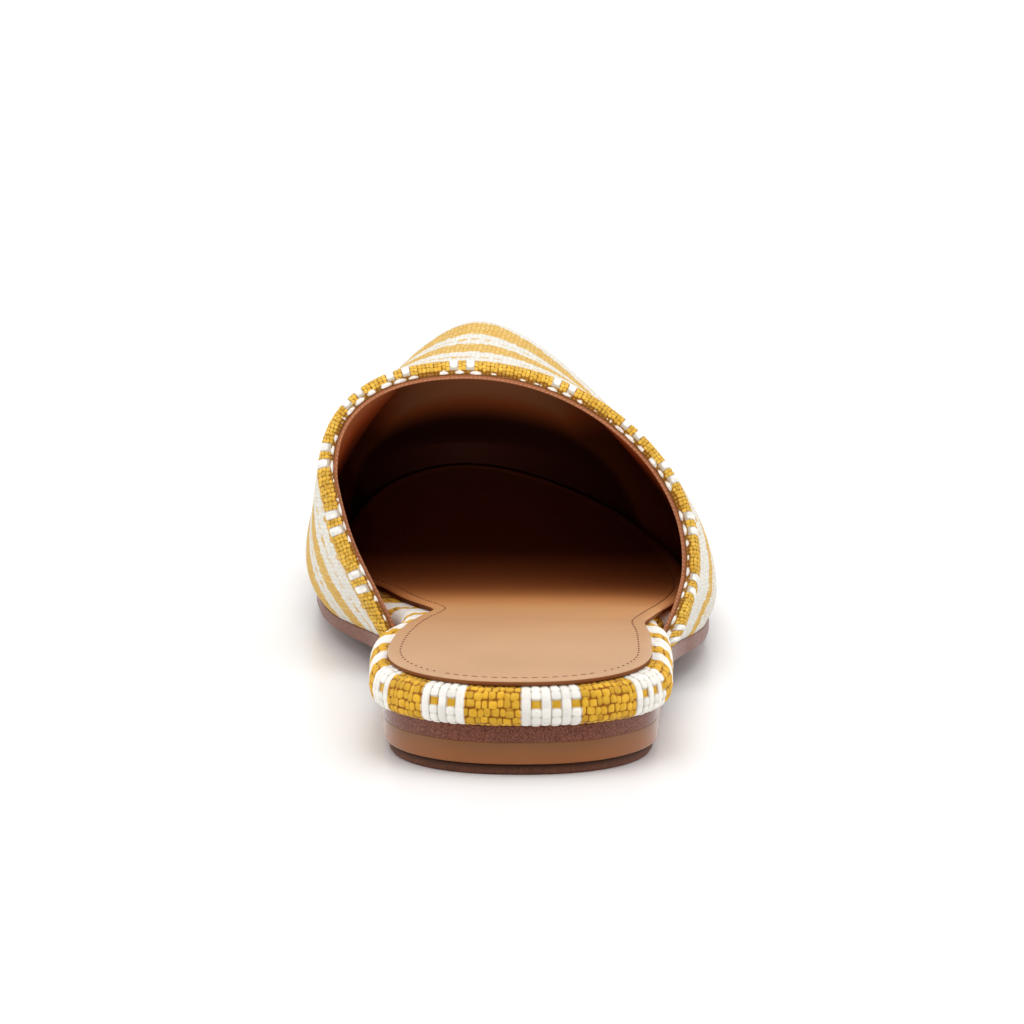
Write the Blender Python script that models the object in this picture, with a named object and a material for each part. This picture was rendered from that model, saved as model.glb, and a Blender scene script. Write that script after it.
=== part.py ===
"""Woven slide mule, a right shoe standing on its sole.

Millimetres throughout, turned to metres as each vertex is placed. The working frame has its
zero at the bottom back edge of the heel lift: +X lateral, +Y towards the toe, +Z up. The floor
is FLOOR_DEPTH below it.
Every solid is made of patches, grids of quads whose corners a function of two shares places,
welded along their common edges. At the end the shoe is moved so that the origin lies on the
floor in the middle of its footprint.
"""

import math

import bmesh
import bpy
import numpy as np
from mathutils import Matrix

MM = 0.001
GAP = 0.3  # clearance between glued or sewn layers

# Sole
LENGTH = 252.0  # outsole, heel edge to toe tip
LIFT_HEIGHT = 4.5
TIP_HEIGHT = 2.2  # rubber top-piece under the lift, set in from its edge
TIP_INSET = 1.2
FLOOR_DEPTH = TIP_HEIGHT + GAP
OUTSOLE = 3.5  # thickness from the heel to the arch
OUTSOLE_EDGE = 2.3  # thickness of the forepart's edge
HEEL_BREAST = 62.0  # where the heel lift ends
BALL_REST = 140.0  # where the arch ends
EDGE_REST = OUTSOLE - OUTSOLE_EDGE  # height of the forepart's bottom edge
BULGE = (84.0, 140.0, 165.0, 235.0)  # where the forepart's underside comes down and goes up again
BULGE_POWER = 3.0  # flat in the middle, rising to the edges
SPRING_START = 188.0
TOE_SPRING = 5.2
SPRING_POWER = 1.8  # the sole curves up more and more towards the toe
HEEL_ROUND = 30.0  # depth of the rounded heel end
HEEL_POWER = 2.25  # above 2, so a little blunter than an ellipse
TOE_ROUND = 75.0  # depth of the rounded toe end
TOE_POWER = 2.0

# Footbed and insole
INSOLE = 1.2
INSOLE_HEEL_TOP = 18.0
INSOLE_BALL_TOP = 8.8
WAIST = (42.0, 150.0)  # where the insole falls from one height to the other
FOOTBED_FRONT = 247.4
INSOLE_BACK = 1.0
INSOLE_FRONT = 246.8
FOOTBED_OVERHANG = 2.9  # how far the wrapped edge stands out beyond the sole at the heel

# Upper
WALL = 2.7  # woven cloth and leather lining
BINDING_WIDTH = 4.0
BINDING_THICKNESS = 3.5
RIM_GAP = 0.5  # between the binding and the woven edge that it covers
BINDING_SQUARE = 0.6  # 1 is an oval section, smaller is squarer
BINDING_END_SHARE = 0.08  # share of the binding that bends to stand flat on the sole
BELLY_SHARE = 0.74  # share of a half section that runs from the ridge to its widest point
TOE_HEIGHT = 9.0  # of the upper's front edge at the very tip
TUCK_TURN = math.radians(40)  # how far the upper turns under from there to its foot
FOOT_INSET = 0.3  # upper's foot inside the sole edge

# Steps of the numeric work
WELD = 1e-6  # metres between vertices that become one
SHARP = math.radians(40)  # a crease at least this sharp is shaded as an edge
STEP_Y = 0.02  # to either side of a point, for the normal there
STEP_ACROSS = 1e-4
COLLAR_STEP = 1e-3  # share of a half section, for the direction of the collar line
SEARCH_STEP = 0.5  # mm along the last, for the upper's back edge
SLOWEST = 0.35  # least rate at which that search moves
SEARCH_ROUNDS = 6
END_STEP = 0.01  # share of the binding, for its direction at a foot
DROP_ROUNDS = 4
EDGE_SHARE = 0.999  # shares beyond this are on the border of a patch

# Edges of the outsole: y, medial x, lateral x, before the ends are rounded.
SOLE_EDGE = (
    (0, -29.3, 29.3),
    (30, -29.3, 29.3),
    (45, -29.8, 30.0),
    (60, -29.4, 30.8),
    (76, -28.8, 32.3),
    (90, -29.8, 35.4),
    (100, -32.2, 38.2),
    (115, -36.9, 40.6),
    (130, -41.4, 41.4),
    (145, -44.2, 41.1),
    (160, -45.2, 40.0),
    (175, -45.2, 37.5),
    (190, -44.9, 34.5),
    (206, -45.6, 32.2),
    (215, -46.4, 30.7),
    (225, -47.4, 28.7),
    (238, -48.2, 25.8),
    (252, -47.6, 22.4),
)

# Edges of the wrapped footbed, which goes inside the wings of the upper.
FOOTBED_EDGE = (
    (0, -32.2, 32.2),
    (30, -32.2, 32.2),
    (44, -32.2, 32.4),
    (56, -31.2, 32.2),
    (66, -29.2, 31.7),
    (74, -27.2, 30.2),
    (82, -25.8, 29.8),
    (92, -25.6, 31.4),
    (100, -27.6, 33.8),
    (115, -32.5, 36.6),
    (130, -37.2, 37.4),
    (145, -40.2, 37.1),
    (160, -41.2, 36.0),
    (175, -41.3, 33.6),
    (190, -41.2, 30.7),
    (206, -42.0, 28.5),
    (215, -42.8, 27.0),
    (225, -43.8, 25.0),
    (236, -44.6, 22.4),
    (248, -44.4, 19.6),
)

# Edges of the insole, with a notch on each side where a wing of the upper begins.
INSOLE_EDGE = (
    (1.0, -28.4, 27.9),
    (30, -28.5, 27.9),
    (47, -26.9, 27.7),
    (56, -25.3, 27.1),
    (63, -24.1, 26.5),
    (72, -22.2, 28.0),
    (82, -19.9, 29.6),
    (90, -18.7, 31.1),
    (96, -19.9, 32.1),
    (105, -22.6, 33.5),
    (120, -26.6, 35.4),
    (134, -30.0, 36.7),
    (148, -36.9, 36.4),
    (160, -40.4, 35.4),
    (175, -40.7, 33.0),
    (190, -40.6, 30.1),
    (206, -41.4, 27.9),
    (215, -42.2, 26.4),
    (225, -43.2, 24.4),
    (236, -44.0, 21.8),
    (247, -43.8, 19.0),
)

# Ridge of the upper: y, x, z, with z before the toe end is rounded.
RIDGE = (
    (70, -12.0, 66.0),
    (90, -12.0, 65.2),
    (110, -12.0, 64.0),
    (125, -11.5, 63.9),
    (140, -10.5, 63.9),
    (155, -9.5, 64.2),
    (165, -9.2, 62.8),
    (175, -9.2, 59.8),
    (190, -9.6, 53.4),
    (206, -10.2, 47.0),
    (215, -10.8, 43.6),
    (225, -11.4, 40.0),
    (240, -12.2, 35.0),
    (252, -12.5, 31.0),
)

# Widest point of each half section: y, x, then its height over the foot of the upper,
# then how far the section runs straight on from the ridge and from that widest point.
MEDIAL_BELLY = (
    (70, -30.0, 18.0, 0.64, 0.62),
    (85, -31.0, 24.0, 0.66, 0.64),
    (90, -32.8, 28.0, 0.70, 0.66),
    (95, -36.4, 30.5, 0.73, 0.69),
    (100, -40.8, 31.0, 0.75, 0.70),
    (104, -43.4, 29.8, 0.75, 0.70),
    (110, -44.8, 27.0, 0.72, 0.68),
    (125, -46.0, 18.0, 0.56, 0.58),
    (140, -47.2, 11.0, 0.46, 0.48),
    (155, -47.6, 9.0, 0.38, 0.36),
    (170, -47.2, 8.5, 0.38, 0.34),
    (185, -46.8, 8.5, 0.42, 0.38),
    (200, -46.8, 9.0, 0.48, 0.45),
    (215, -47.8, 9.0, 0.53, 0.50),
    (230, -49.0, 9.0, 0.55, 0.55),
    (252, -49.0, 9.0, 0.55, 0.55),
)
LATERAL_BELLY = (
    (70, 34.6, 17.0, 0.58, 0.54),
    (80, 36.2, 17.0, 0.59, 0.53),
    (90, 37.6, 14.0, 0.59, 0.53),
    (100, 39.6, 11.0, 0.60, 0.51),
    (110, 41.7, 8.5, 0.58, 0.48),
    (125, 43.0, 7.0, 0.48, 0.39),
    (140, 42.9, 6.0, 0.38, 0.29),
    (155, 42.0, 5.5, 0.32, 0.22),
    (170, 39.8, 6.0, 0.34, 0.24),
    (185, 37.1, 7.0, 0.40, 0.30),
    (200, 34.4, 8.0, 0.46, 0.40),
    (215, 32.0, 9.0, 0.50, 0.48),
    (230, 29.0, 9.0, 0.55, 0.55),
    (252, 24.0, 9.0, 0.55, 0.55),
)

# Collar line: share of the half section from the ridge to the foot, then y on each side.
COLLAR = (
    (0.00, 110.0, 110.0),
    (0.20, 109.6, 109.2),
    (0.40, 107.8, 105.8),
    (0.55, 105.3, 101.0),
    (0.70, 101.8, 93.8),
    (0.80, 98.8, 88.6),
    (0.90, 95.2, 83.4),
    (1.00, 91.0, 78.0),
)

# Edge profiles of the sole's layers: inset, share of the height.
TIP_PROFILE = ((TIP_INSET + 0.3, 0.0), (TIP_INSET, 0.15), (TIP_INSET, 1.0))
LIFT_PROFILE = ((0.4, 0.0), (0.0, 0.12), (0.0, 1.0))
OUTSOLE_PROFILE = ((0.4, 0.0), (0.0, 0.12), (0.0, 0.88), (0.3, 1.0))
FOOTBED_PROFILE = (
    (2.7, 0.0),
    (1.0, 0.08),
    (0.25, 0.24),
    (0.0, 0.46),
    (0.3, 0.70),
    (1.2, 0.90),
    (2.9, 1.0),
)
INSOLE_PROFILE = ((0.1, 0.0), (0.0, 0.75), (0.3, 1.0))

# Grid of each solid: cells along the shoe, then cells across or around it.
SOLE_CELLS = (44, 2)
OUTSOLE_CELLS = (44, 6)
LIFT_CELLS = (20, 2)
UPPER_CELLS = (34, 36)
BINDING_CELLS = (56, 10)


def curve(rows, column):
    """A smooth curve through a column of a table, that never overshoots its rows."""
    keys = np.array([row[0] for row in rows], float)
    values = np.array([row[column] for row in rows], float)
    steps = np.diff(keys)
    rises = np.diff(values) / steps
    slopes = np.concatenate([rises[:1], np.zeros(len(keys) - 2), rises[-1:]])
    for i in range(1, len(keys) - 1):
        if rises[i - 1] * rises[i] > 0:
            before = 2 * steps[i] + steps[i - 1]
            after = steps[i] + 2 * steps[i - 1]
            slopes[i] = (before + after) / (before / rises[i - 1] + after / rises[i])

    def at(key):
        key = np.clip(np.asarray(key, float), keys[0], keys[-1])
        i = np.clip(np.searchsorted(keys, key, side="right") - 1, 0, len(steps) - 1)
        share = (key - keys[i]) / steps[i]
        rest = 1 - share
        return (
            (1 + 2 * share) * rest**2 * values[i]
            + share * rest**2 * steps[i] * slopes[i]
            + share**2 * (3 - 2 * share) * values[i + 1]
            - share**2 * rest * steps[i] * slopes[i + 1]
        )

    return at


def ease(share):
    share = np.clip(share, 0, 1)
    return share * share * (3 - 2 * share)


def forepart(y):
    """0 at the heel, 1 from the ball to the toe."""
    return ease((y - HEEL_BREAST) / (BALL_REST - HEEL_BREAST))


def toe_spring(y):
    return TOE_SPRING * np.clip((y - SPRING_START) / (LENGTH - SPRING_START), 0, 1) ** SPRING_POWER


def outsole_bottom(y):
    heel = LIFT_HEIGHT + GAP
    return heel + (EDGE_REST - heel) * forepart(y) + toe_spring(y)


def outsole_top(y):
    return outsole_bottom(y) + OUTSOLE + (OUTSOLE_EDGE - OUTSOLE) * forepart(y)


def bulge(y, across):
    """How far the outsole's underside comes down in its middle, to tread on the floor."""
    down, low, still_low, up = BULGE
    along = ease((y - down) / (low - down)) * (1 - ease((y - still_low) / (up - still_low)))
    return (FLOOR_DEPTH + EDGE_REST) * along * (1 - np.abs(2 * across - 1) ** BULGE_POWER)


def insole_top(y):
    fall = (INSOLE_HEEL_TOP - INSOLE_BALL_TOP) * ease((y - WAIST[0]) / (WAIST[1] - WAIST[0]))
    return INSOLE_HEEL_TOP - fall + toe_spring(y)


def insole_bottom(y):
    return insole_top(y) - INSOLE


def rounding(y, edge, depth, power):
    """1 away from a rounded end, falling to 0 at its tip; depth is signed, + for the toe."""
    into = np.clip(1 - (edge - y) / depth, 0, 1)
    return (1 - into**power) ** (1 / power)


def outline(rows, back, front, toe_round=TOE_ROUND):
    """The outline of a flat piece: x and y from the share along it, the side (-1 or 1), an inset."""
    medial, lateral = curve(rows, 1), curve(rows, 2)

    def at(along, side, inset):
        start, end = back + inset, front - inset
        y = start + (end - start) * (1 - np.cos(math.pi * along)) / 2
        middle, half = (medial(y) + lateral(y)) / 2, (lateral(y) - medial(y)) / 2 - inset
        half = half * rounding(y, start, inset - HEEL_ROUND, HEEL_POWER)
        if toe_round:
            half = half * rounding(y, end, toe_round - inset, TOE_POWER)
        return np.column_stack([middle + side * half, y])

    return at


def patch(bm, cells, place):
    """Adds a grid of quads whose corners place() puts, from their shares along and across."""
    made = bmesh.ops.create_grid(bm, x_segments=cells[0], y_segments=cells[1], size=0.5)
    along = np.array([vert.co.x for vert in made["verts"]]) + 0.5
    across = np.array([vert.co.y for vert in made["verts"]]) + 0.5
    along, across = np.clip(along, 0, 1), np.clip(across, 0, 1)
    for vert, point in zip(made["verts"], place(along, across)):
        vert.co = point * MM


def material_of(name, colour, roughness):
    material = bpy.data.materials.new(name)
    material.use_nodes = True
    shader = material.node_tree.nodes["Principled BSDF"]
    shader.inputs["Base Color"].default_value = (*colour, 1.0)
    shader.inputs["Roughness"].default_value = roughness
    material.diffuse_color = (*colour, 1.0)
    return material


def finish(bm, name, material):
    """Welds the patches to one closed body, turns its faces outwards and makes its object."""
    bmesh.ops.remove_doubles(bm, verts=bm.verts, dist=WELD)
    bmesh.ops.dissolve_degenerate(bm, edges=bm.edges, dist=WELD)
    bmesh.ops.recalc_face_normals(bm, faces=bm.faces)
    mesh = bpy.data.meshes.new(name)
    bm.to_mesh(mesh)
    bm.free()
    mesh.shade_smooth()
    mesh.set_sharp_from_angle(angle=SHARP)
    mesh.materials.append(material)
    thing = bpy.data.objects.new(name, mesh)
    bpy.context.collection.objects.link(thing)
    return thing


def layer(name, edge, bottom, top, profile, material, cells=SOLE_CELLS, sag=None):
    """A layer of the sole: caps follow bottom() and top(), and its edge follows the profile.

    The profile lists (inset, share of the height) from the bottom to the top of the edge.
    sag() says how far the underside hangs below bottom() inside its edge.
    """
    insets = np.array([row[0] for row in profile])
    heights = np.array([row[1] for row in profile])
    levels = len(profile) - 1

    def raised(flat, share):
        low, high = bottom(flat[:, 1]), top(flat[:, 1])
        return np.column_stack([flat, low + (high - low) * share])

    def wall(side):
        def place(along, up):
            level = np.rint(up * levels).astype(int)
            return raised(edge(along, side, insets[level]), heights[level])

        return place

    def span(along, across, inset, share):
        medial, lateral = edge(along, -1, inset), edge(along, 1, inset)
        return raised(medial + (lateral - medial) * across[:, None], share)

    def underside(along, across):
        points = span(along, across, insets[0], 0.0)
        if sag:
            points[:, 2] -= sag(points[:, 1], across)
        return points

    def breast(across, up):
        level = np.rint(up * levels).astype(int)
        return span(np.ones_like(across), across, insets[level], heights[level])

    bm = bmesh.new()
    patch(bm, (cells[0], levels), wall(-1))
    patch(bm, (cells[0], levels), wall(1))
    patch(bm, cells, underside)
    patch(bm, cells, lambda along, across: span(along, across, insets[-1], 1.0))
    patch(bm, (cells[1], levels), breast)
    return finish(bm, name, material)


def last(y, across):
    """Outer surface of the upper: across runs from -1 at the medial foot to 1 at the lateral."""
    y, across = np.broadcast_arrays(np.asarray(y, float), np.asarray(across, float))
    side = np.where(across < 0, -1.0, 1.0)

    def per_side(column):
        return np.where(
            across < 0, curve(MEDIAL_BELLY, column)(y), curve(LATERAL_BELLY, column)(y)
        )

    sole_x = np.where(across < 0, curve(SOLE_EDGE, 1)(y), curve(SOLE_EDGE, 2)(y))
    middle = (curve(SOLE_EDGE, 1)(y) + curve(SOLE_EDGE, 2)(y)) / 2
    foot_x = sole_x - side * FOOT_INSET
    foot_z = outsole_top(y) + GAP
    belly_x, belly_z = per_side(1), foot_z + per_side(2)
    ridge_x, ridge_z = curve(RIDGE, 1)(y), curve(RIDGE, 2)(y)
    blunt = rounding(y, LENGTH, TOE_ROUND, TOE_POWER)

    down = np.clip(np.abs(across) / BELLY_SHARE, 0, 1)
    up = 1 - down
    crest = foot_z + TOE_HEIGHT
    crest = crest + (ridge_z - crest) * blunt
    width, height = belly_x - ridge_x, crest - belly_z
    x = ridge_x + width * (3 * down * up**2 * per_side(3) + 3 * down**2 * up + down**3)
    z = belly_z + height * (up**3 + 3 * down * up**2 + 3 * down**2 * up * per_side(4))

    tuck = np.clip((np.abs(across) - BELLY_SHARE) / (1 - BELLY_SHARE), 0, 1) * TUCK_TURN
    x = x + (foot_x - belly_x) * (1 - np.cos(tuck)) / (1 - math.cos(TUCK_TURN))
    z = z - (belly_z - foot_z) * np.sin(tuck) / math.sin(TUCK_TURN)
    return np.stack([middle + (x - middle) * blunt, y, z], axis=-1)


def collar_y(across):
    share = np.abs(across)
    return np.where(across < 0, curve(COLLAR, 1)(share), curve(COLLAR, 2)(share))


def unit(vectors):
    return vectors / np.linalg.norm(vectors, axis=-1, keepdims=True)


def outward(y, across):
    """Unit normal of the last."""
    y = np.minimum(y, LENGTH - 2 * STEP_Y)
    across = np.clip(across, -1 + STEP_ACROSS, 1 - STEP_ACROSS)
    forwards = last(y + STEP_Y, across) - last(y - STEP_Y, across)
    sideways = last(y, across + STEP_ACROSS) - last(y, across - STEP_ACROSS)
    return unit(np.cross(sideways, forwards))


def collar_frame(across):
    """At each point of the collar line: the point, the normal, and forwards square to the line."""
    across = np.clip(across, -1, 1)
    y = collar_y(across)
    ends = np.clip(np.stack([across - COLLAR_STEP, across + COLLAR_STEP]), -1, 1)
    before, after = last(collar_y(ends[0]), ends[0]), last(collar_y(ends[1]), ends[1])
    normal = outward(y, across)
    forwards = unit(np.cross(normal, after - before))
    return last(y, across), normal, forwards


def upper_back_y(across):
    """Where the upper starts: a gap in front of the binding, along the last."""
    y = collar_y(across)
    line, _, forwards = collar_frame(across)
    wanted = BINDING_WIDTH + RIM_GAP
    for _ in range(SEARCH_ROUNDS):
        reached = np.sum((last(y, across) - line) * forwards, axis=-1)
        step = last(y + SEARCH_STEP, across) - last(y - SEARCH_STEP, across)
        rate = np.sum(step * forwards, axis=-1) / (2 * SEARCH_STEP)
        y = y + (wanted - reached) / np.maximum(rate, SLOWEST)
    return y


def make_upper(material):
    def outer(along, share):
        across = 2 * share - 1
        back = upper_back_y(across)
        return last(back + (LENGTH - back) * np.sin(along * math.pi / 2), across)

    def inner(along, share):
        across = 2 * share - 1
        points = outer(along, share)
        normal = outward(points[:, 1], across)
        normal[along > EDGE_SHARE] = (0, 1, 0)
        inside = points - normal * WALL
        foot = np.abs(across) > EDGE_SHARE
        inside[foot, 2] = points[foot, 2]
        return inside

    def rim(along, share, through):
        out = outer(along, share)
        return out + (inner(along, share) - out) * through[:, None]

    bm = bmesh.new()
    patch(bm, UPPER_CELLS, outer)
    patch(bm, UPPER_CELLS, inner)
    patch(bm, (UPPER_CELLS[0], 1), lambda along, through: rim(along, 0 * along, through))
    patch(bm, (UPPER_CELLS[0], 1), lambda along, through: rim(along, 0 * along + 1, through))
    patch(bm, (UPPER_CELLS[1], 1), lambda share, through: rim(0 * share, share, through))
    return finish(bm, "upper", material)


def make_binding(material):
    """The folded strip round the collar: a tube with a rounded square section, foot to foot."""

    def tube(along, around):
        across = 2 * along - 1
        point, normal, forwards = collar_frame(across)
        ahead, aside = np.cos(around * 2 * math.pi), np.sin(around * 2 * math.pi)
        ahead = np.sign(ahead) * np.abs(ahead) ** BINDING_SQUARE
        aside = np.sign(aside) * np.abs(aside) ** BINDING_SQUARE
        return (
            point
            + forwards * (BINDING_WIDTH / 2 * (1 + ahead))[:, None]
            + normal * (BINDING_THICKNESS / 2 * aside - WALL / 2)[:, None]
        )

    def place(along, around):
        """The tube, slid along itself near each end so that it stands flat on the sole."""
        points = tube(along, around)
        end = np.rint(along)
        foot = tube(end, around)
        step = unit(foot - tube(np.abs(end - END_STEP), around))
        drop = np.zeros(len(along))
        for _ in range(DROP_ROUNDS):
            there = foot + step * drop[:, None]
            drop += (outsole_top(there[:, 1]) + GAP - there[:, 2]) / step[:, 2]
        near = ease(1 - np.abs(along - end) / BINDING_END_SHARE)
        return points + step * (drop * near)[:, None]

    def cap(end):
        def at(around, inwards):
            ring = place(0 * around + end, around)
            centre = ring.mean(axis=0)
            return ring + (centre - ring) * np.rint(inwards)[:, None]

        return at

    bm = bmesh.new()
    patch(bm, BINDING_CELLS, place)
    patch(bm, (BINDING_CELLS[1], 1), cap(0))
    patch(bm, (BINDING_CELLS[1], 1), cap(1))
    return finish(bm, "topline_binding", material)


def make_shoe():
    cloth = material_of("woven_cotton", (0.74, 0.50, 0.10), 0.9)
    tape = material_of("binding_cotton", (0.80, 0.62, 0.22), 0.9)
    wrap = material_of("footbed_cotton", (0.76, 0.55, 0.15), 0.9)
    leather = material_of("tan_leather", (0.60, 0.30, 0.14), 0.45)
    sole_leather = material_of("sole_leather", (0.13, 0.05, 0.025), 0.5)
    rubber = material_of("heel_rubber", (0.24, 0.11, 0.055), 0.35)
    tip_rubber = material_of("tip_rubber", (0.06, 0.025, 0.015), 0.6)

    def tip_top(y):
        return 0 * y - GAP

    def lift_top(y):
        return 0 * y + LIFT_HEIGHT

    def lift_bottom(y):
        return 0 * y

    def floor(y):
        return 0 * y - FLOOR_DEPTH

    def above_outsole(y):
        return outsole_top(y) + GAP

    def under_insole(y):
        return insole_top(y) - INSOLE - GAP

    sole = outline(SOLE_EDGE, 0.0, LENGTH)
    lift = outline(SOLE_EDGE, 0.0, HEEL_BREAST, 0)
    footbed = outline(FOOTBED_EDGE, -FOOTBED_OVERHANG, FOOTBED_FRONT)
    insole = outline(INSOLE_EDGE, INSOLE_BACK, INSOLE_FRONT)
    return (
        layer("heel_tip", lift, floor, tip_top, TIP_PROFILE, tip_rubber, LIFT_CELLS),
        layer("heel_lift", lift, lift_bottom, lift_top, LIFT_PROFILE, rubber, LIFT_CELLS),
        layer(
            "outsole", sole, outsole_bottom, outsole_top, OUTSOLE_PROFILE, sole_leather,
            OUTSOLE_CELLS, bulge,
        ),
        layer("footbed", footbed, above_outsole, under_insole, FOOTBED_PROFILE, wrap),
        layer("insole", insole, insole_bottom, insole_top, INSOLE_PROFILE, leather),
        make_upper(cloth),
        make_binding(tape),
    )


def stand_on_origin(pieces):
    """Moves the meshes so that the origin is at the bottom centre of the shoe's bounds."""
    corners = np.array([vert.co for piece in pieces for vert in piece.data.vertices])
    low, high = corners.min(axis=0), corners.max(axis=0)
    shift = (-(low[0] + high[0]) / 2, -(low[1] + high[1]) / 2, -low[2])
    for piece in pieces:
        piece.data.transform(Matrix.Translation(shift))


def clear_scene():
    for thing in list(bpy.data.objects):
        bpy.data.objects.remove(thing, do_unlink=True)


if __name__ == "__main__":
    clear_scene()
    stand_on_origin(make_shoe())
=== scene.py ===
"""Looks of the woven slide mule, a right shoe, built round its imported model.

Shapes are worked out in millimetres in the shoe's own working frame: zero at the bottom back
edge of the heel lift, +X lateral, +Y towards the toe, +Z up, with the floor FLOOR_DEPTH below.
place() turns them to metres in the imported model's frame.
"""

import math

import bmesh
import bpy
import numpy as np
from mathutils import Matrix, Vector


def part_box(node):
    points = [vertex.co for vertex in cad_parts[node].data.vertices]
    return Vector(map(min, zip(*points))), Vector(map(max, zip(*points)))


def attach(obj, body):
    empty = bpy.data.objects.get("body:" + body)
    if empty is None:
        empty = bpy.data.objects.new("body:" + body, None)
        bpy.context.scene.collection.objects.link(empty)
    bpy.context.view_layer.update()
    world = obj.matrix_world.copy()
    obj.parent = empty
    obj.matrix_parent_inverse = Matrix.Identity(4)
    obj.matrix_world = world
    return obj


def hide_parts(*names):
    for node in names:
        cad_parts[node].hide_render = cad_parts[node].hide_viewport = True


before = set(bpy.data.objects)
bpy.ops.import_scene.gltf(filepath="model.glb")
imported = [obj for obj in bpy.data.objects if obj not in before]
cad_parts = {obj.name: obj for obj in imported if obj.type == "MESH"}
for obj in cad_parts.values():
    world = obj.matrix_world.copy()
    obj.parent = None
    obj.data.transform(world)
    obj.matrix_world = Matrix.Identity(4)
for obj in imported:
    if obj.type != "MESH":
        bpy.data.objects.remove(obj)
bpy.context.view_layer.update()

MM = 0.001
GAP = 0.3  # clearance between glued or sewn layers

# Sole
LENGTH = 252.0  # outsole, heel edge to toe tip
LIFT_HEIGHT = 4.5
TIP_HEIGHT = 2.2  # rubber top-piece under the lift, set in from its edge
TIP_INSET = 1.2
FLOOR_DEPTH = TIP_HEIGHT + GAP
OUTSOLE = 3.5  # thickness from the heel to the arch
OUTSOLE_EDGE = 2.3  # thickness of the forepart's edge
HEEL_BREAST = 62.0  # where the heel lift ends
BALL_REST = 140.0  # where the arch ends
EDGE_REST = OUTSOLE - OUTSOLE_EDGE  # height of the forepart's bottom edge
BULGE = (84.0, 140.0, 165.0, 235.0)  # where the forepart's underside comes down and goes up again
BULGE_POWER = 3.0  # flat in the middle, rising to the edges
SPRING_START = 188.0
TOE_SPRING = 5.2
SPRING_POWER = 1.8  # the sole curves up more and more towards the toe
HEEL_ROUND = 30.0  # depth of the rounded heel end
HEEL_POWER = 2.25  # above 2, so a little blunter than an ellipse
TOE_ROUND = 75.0  # depth of the rounded toe end
TOE_POWER = 2.0

# Footbed and insole
INSOLE = 1.2
INSOLE_HEEL_TOP = 18.0
INSOLE_BALL_TOP = 8.8
WAIST = (42.0, 150.0)  # where the insole falls from one height to the other
FOOTBED_FRONT = 247.4
INSOLE_BACK = 1.0
INSOLE_FRONT = 246.8
FOOTBED_OVERHANG = 2.9  # how far the wrapped edge stands out beyond the sole at the heel

# Upper
WALL = 2.7  # woven cloth and leather lining
BINDING_WIDTH = 4.0
BINDING_THICKNESS = 3.5
RIM_GAP = 0.5  # between the binding and the woven edge that it covers
BINDING_END_SHARE = 0.08  # share of the binding that bends to stand flat on the sole
BELLY_SHARE = 0.74  # share of a half section that runs from the ridge to its widest point
TOE_HEIGHT = 9.0  # of the upper's front edge at the very tip
TUCK_TURN = math.radians(40)  # how far the upper turns under from there to its foot
FOOT_INSET = 0.3  # upper's foot inside the sole edge

# Steps of the numeric work
WELD = 1e-6  # metres between vertices that become one
STEP_Y = 0.02  # to either side of a point, for the normal there
STEP_ACROSS = 1e-4
COLLAR_STEP = 1e-3  # share of a half section, for the direction of the collar line
SEARCH_STEP = 0.5  # mm along the last, for the upper's back edge
SLOWEST = 0.35  # least rate at which that search moves
SEARCH_ROUNDS = 6
END_STEP = 0.01  # share of the binding, for its direction at a foot
DROP_ROUNDS = 4
EDGE_SHARE = 0.999  # shares beyond this are on the border of a patch

# Edges of the outsole: y, medial x, lateral x, before the ends are rounded.
SOLE_EDGE = (
    (0, -29.3, 29.3),
    (30, -29.3, 29.3),
    (45, -29.8, 30.0),
    (60, -29.4, 30.8),
    (76, -28.8, 32.3),
    (90, -29.8, 35.4),
    (100, -32.2, 38.2),
    (115, -36.9, 40.6),
    (130, -41.4, 41.4),
    (145, -44.2, 41.1),
    (160, -45.2, 40.0),
    (175, -45.2, 37.5),
    (190, -44.9, 34.5),
    (206, -45.6, 32.2),
    (215, -46.4, 30.7),
    (225, -47.4, 28.7),
    (238, -48.2, 25.8),
    (252, -47.6, 22.4),
)

# Edges of the wrapped footbed, which goes inside the wings of the upper.
FOOTBED_EDGE = (
    (0, -32.2, 32.2),
    (30, -32.2, 32.2),
    (44, -32.2, 32.4),
    (56, -31.2, 32.2),
    (66, -29.2, 31.7),
    (74, -27.2, 30.2),
    (82, -25.8, 29.8),
    (92, -25.6, 31.4),
    (100, -27.6, 33.8),
    (115, -32.5, 36.6),
    (130, -37.2, 37.4),
    (145, -40.2, 37.1),
    (160, -41.2, 36.0),
    (175, -41.3, 33.6),
    (190, -41.2, 30.7),
    (206, -42.0, 28.5),
    (215, -42.8, 27.0),
    (225, -43.8, 25.0),
    (236, -44.6, 22.4),
    (248, -44.4, 19.6),
)

# Edges of the insole, with a notch on each side where a wing of the upper begins.
INSOLE_EDGE = (
    (1.0, -28.4, 27.9),
    (30, -28.5, 27.9),
    (47, -26.9, 27.7),
    (56, -25.3, 27.1),
    (63, -24.1, 26.5),
    (72, -22.2, 28.0),
    (82, -19.9, 29.6),
    (90, -18.7, 31.1),
    (96, -19.9, 32.1),
    (105, -22.6, 33.5),
    (120, -26.6, 35.4),
    (134, -30.0, 36.7),
    (148, -36.9, 36.4),
    (160, -40.4, 35.4),
    (175, -40.7, 33.0),
    (190, -40.6, 30.1),
    (206, -41.4, 27.9),
    (215, -42.2, 26.4),
    (225, -43.2, 24.4),
    (236, -44.0, 21.8),
    (247, -43.8, 19.0),
)

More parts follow.
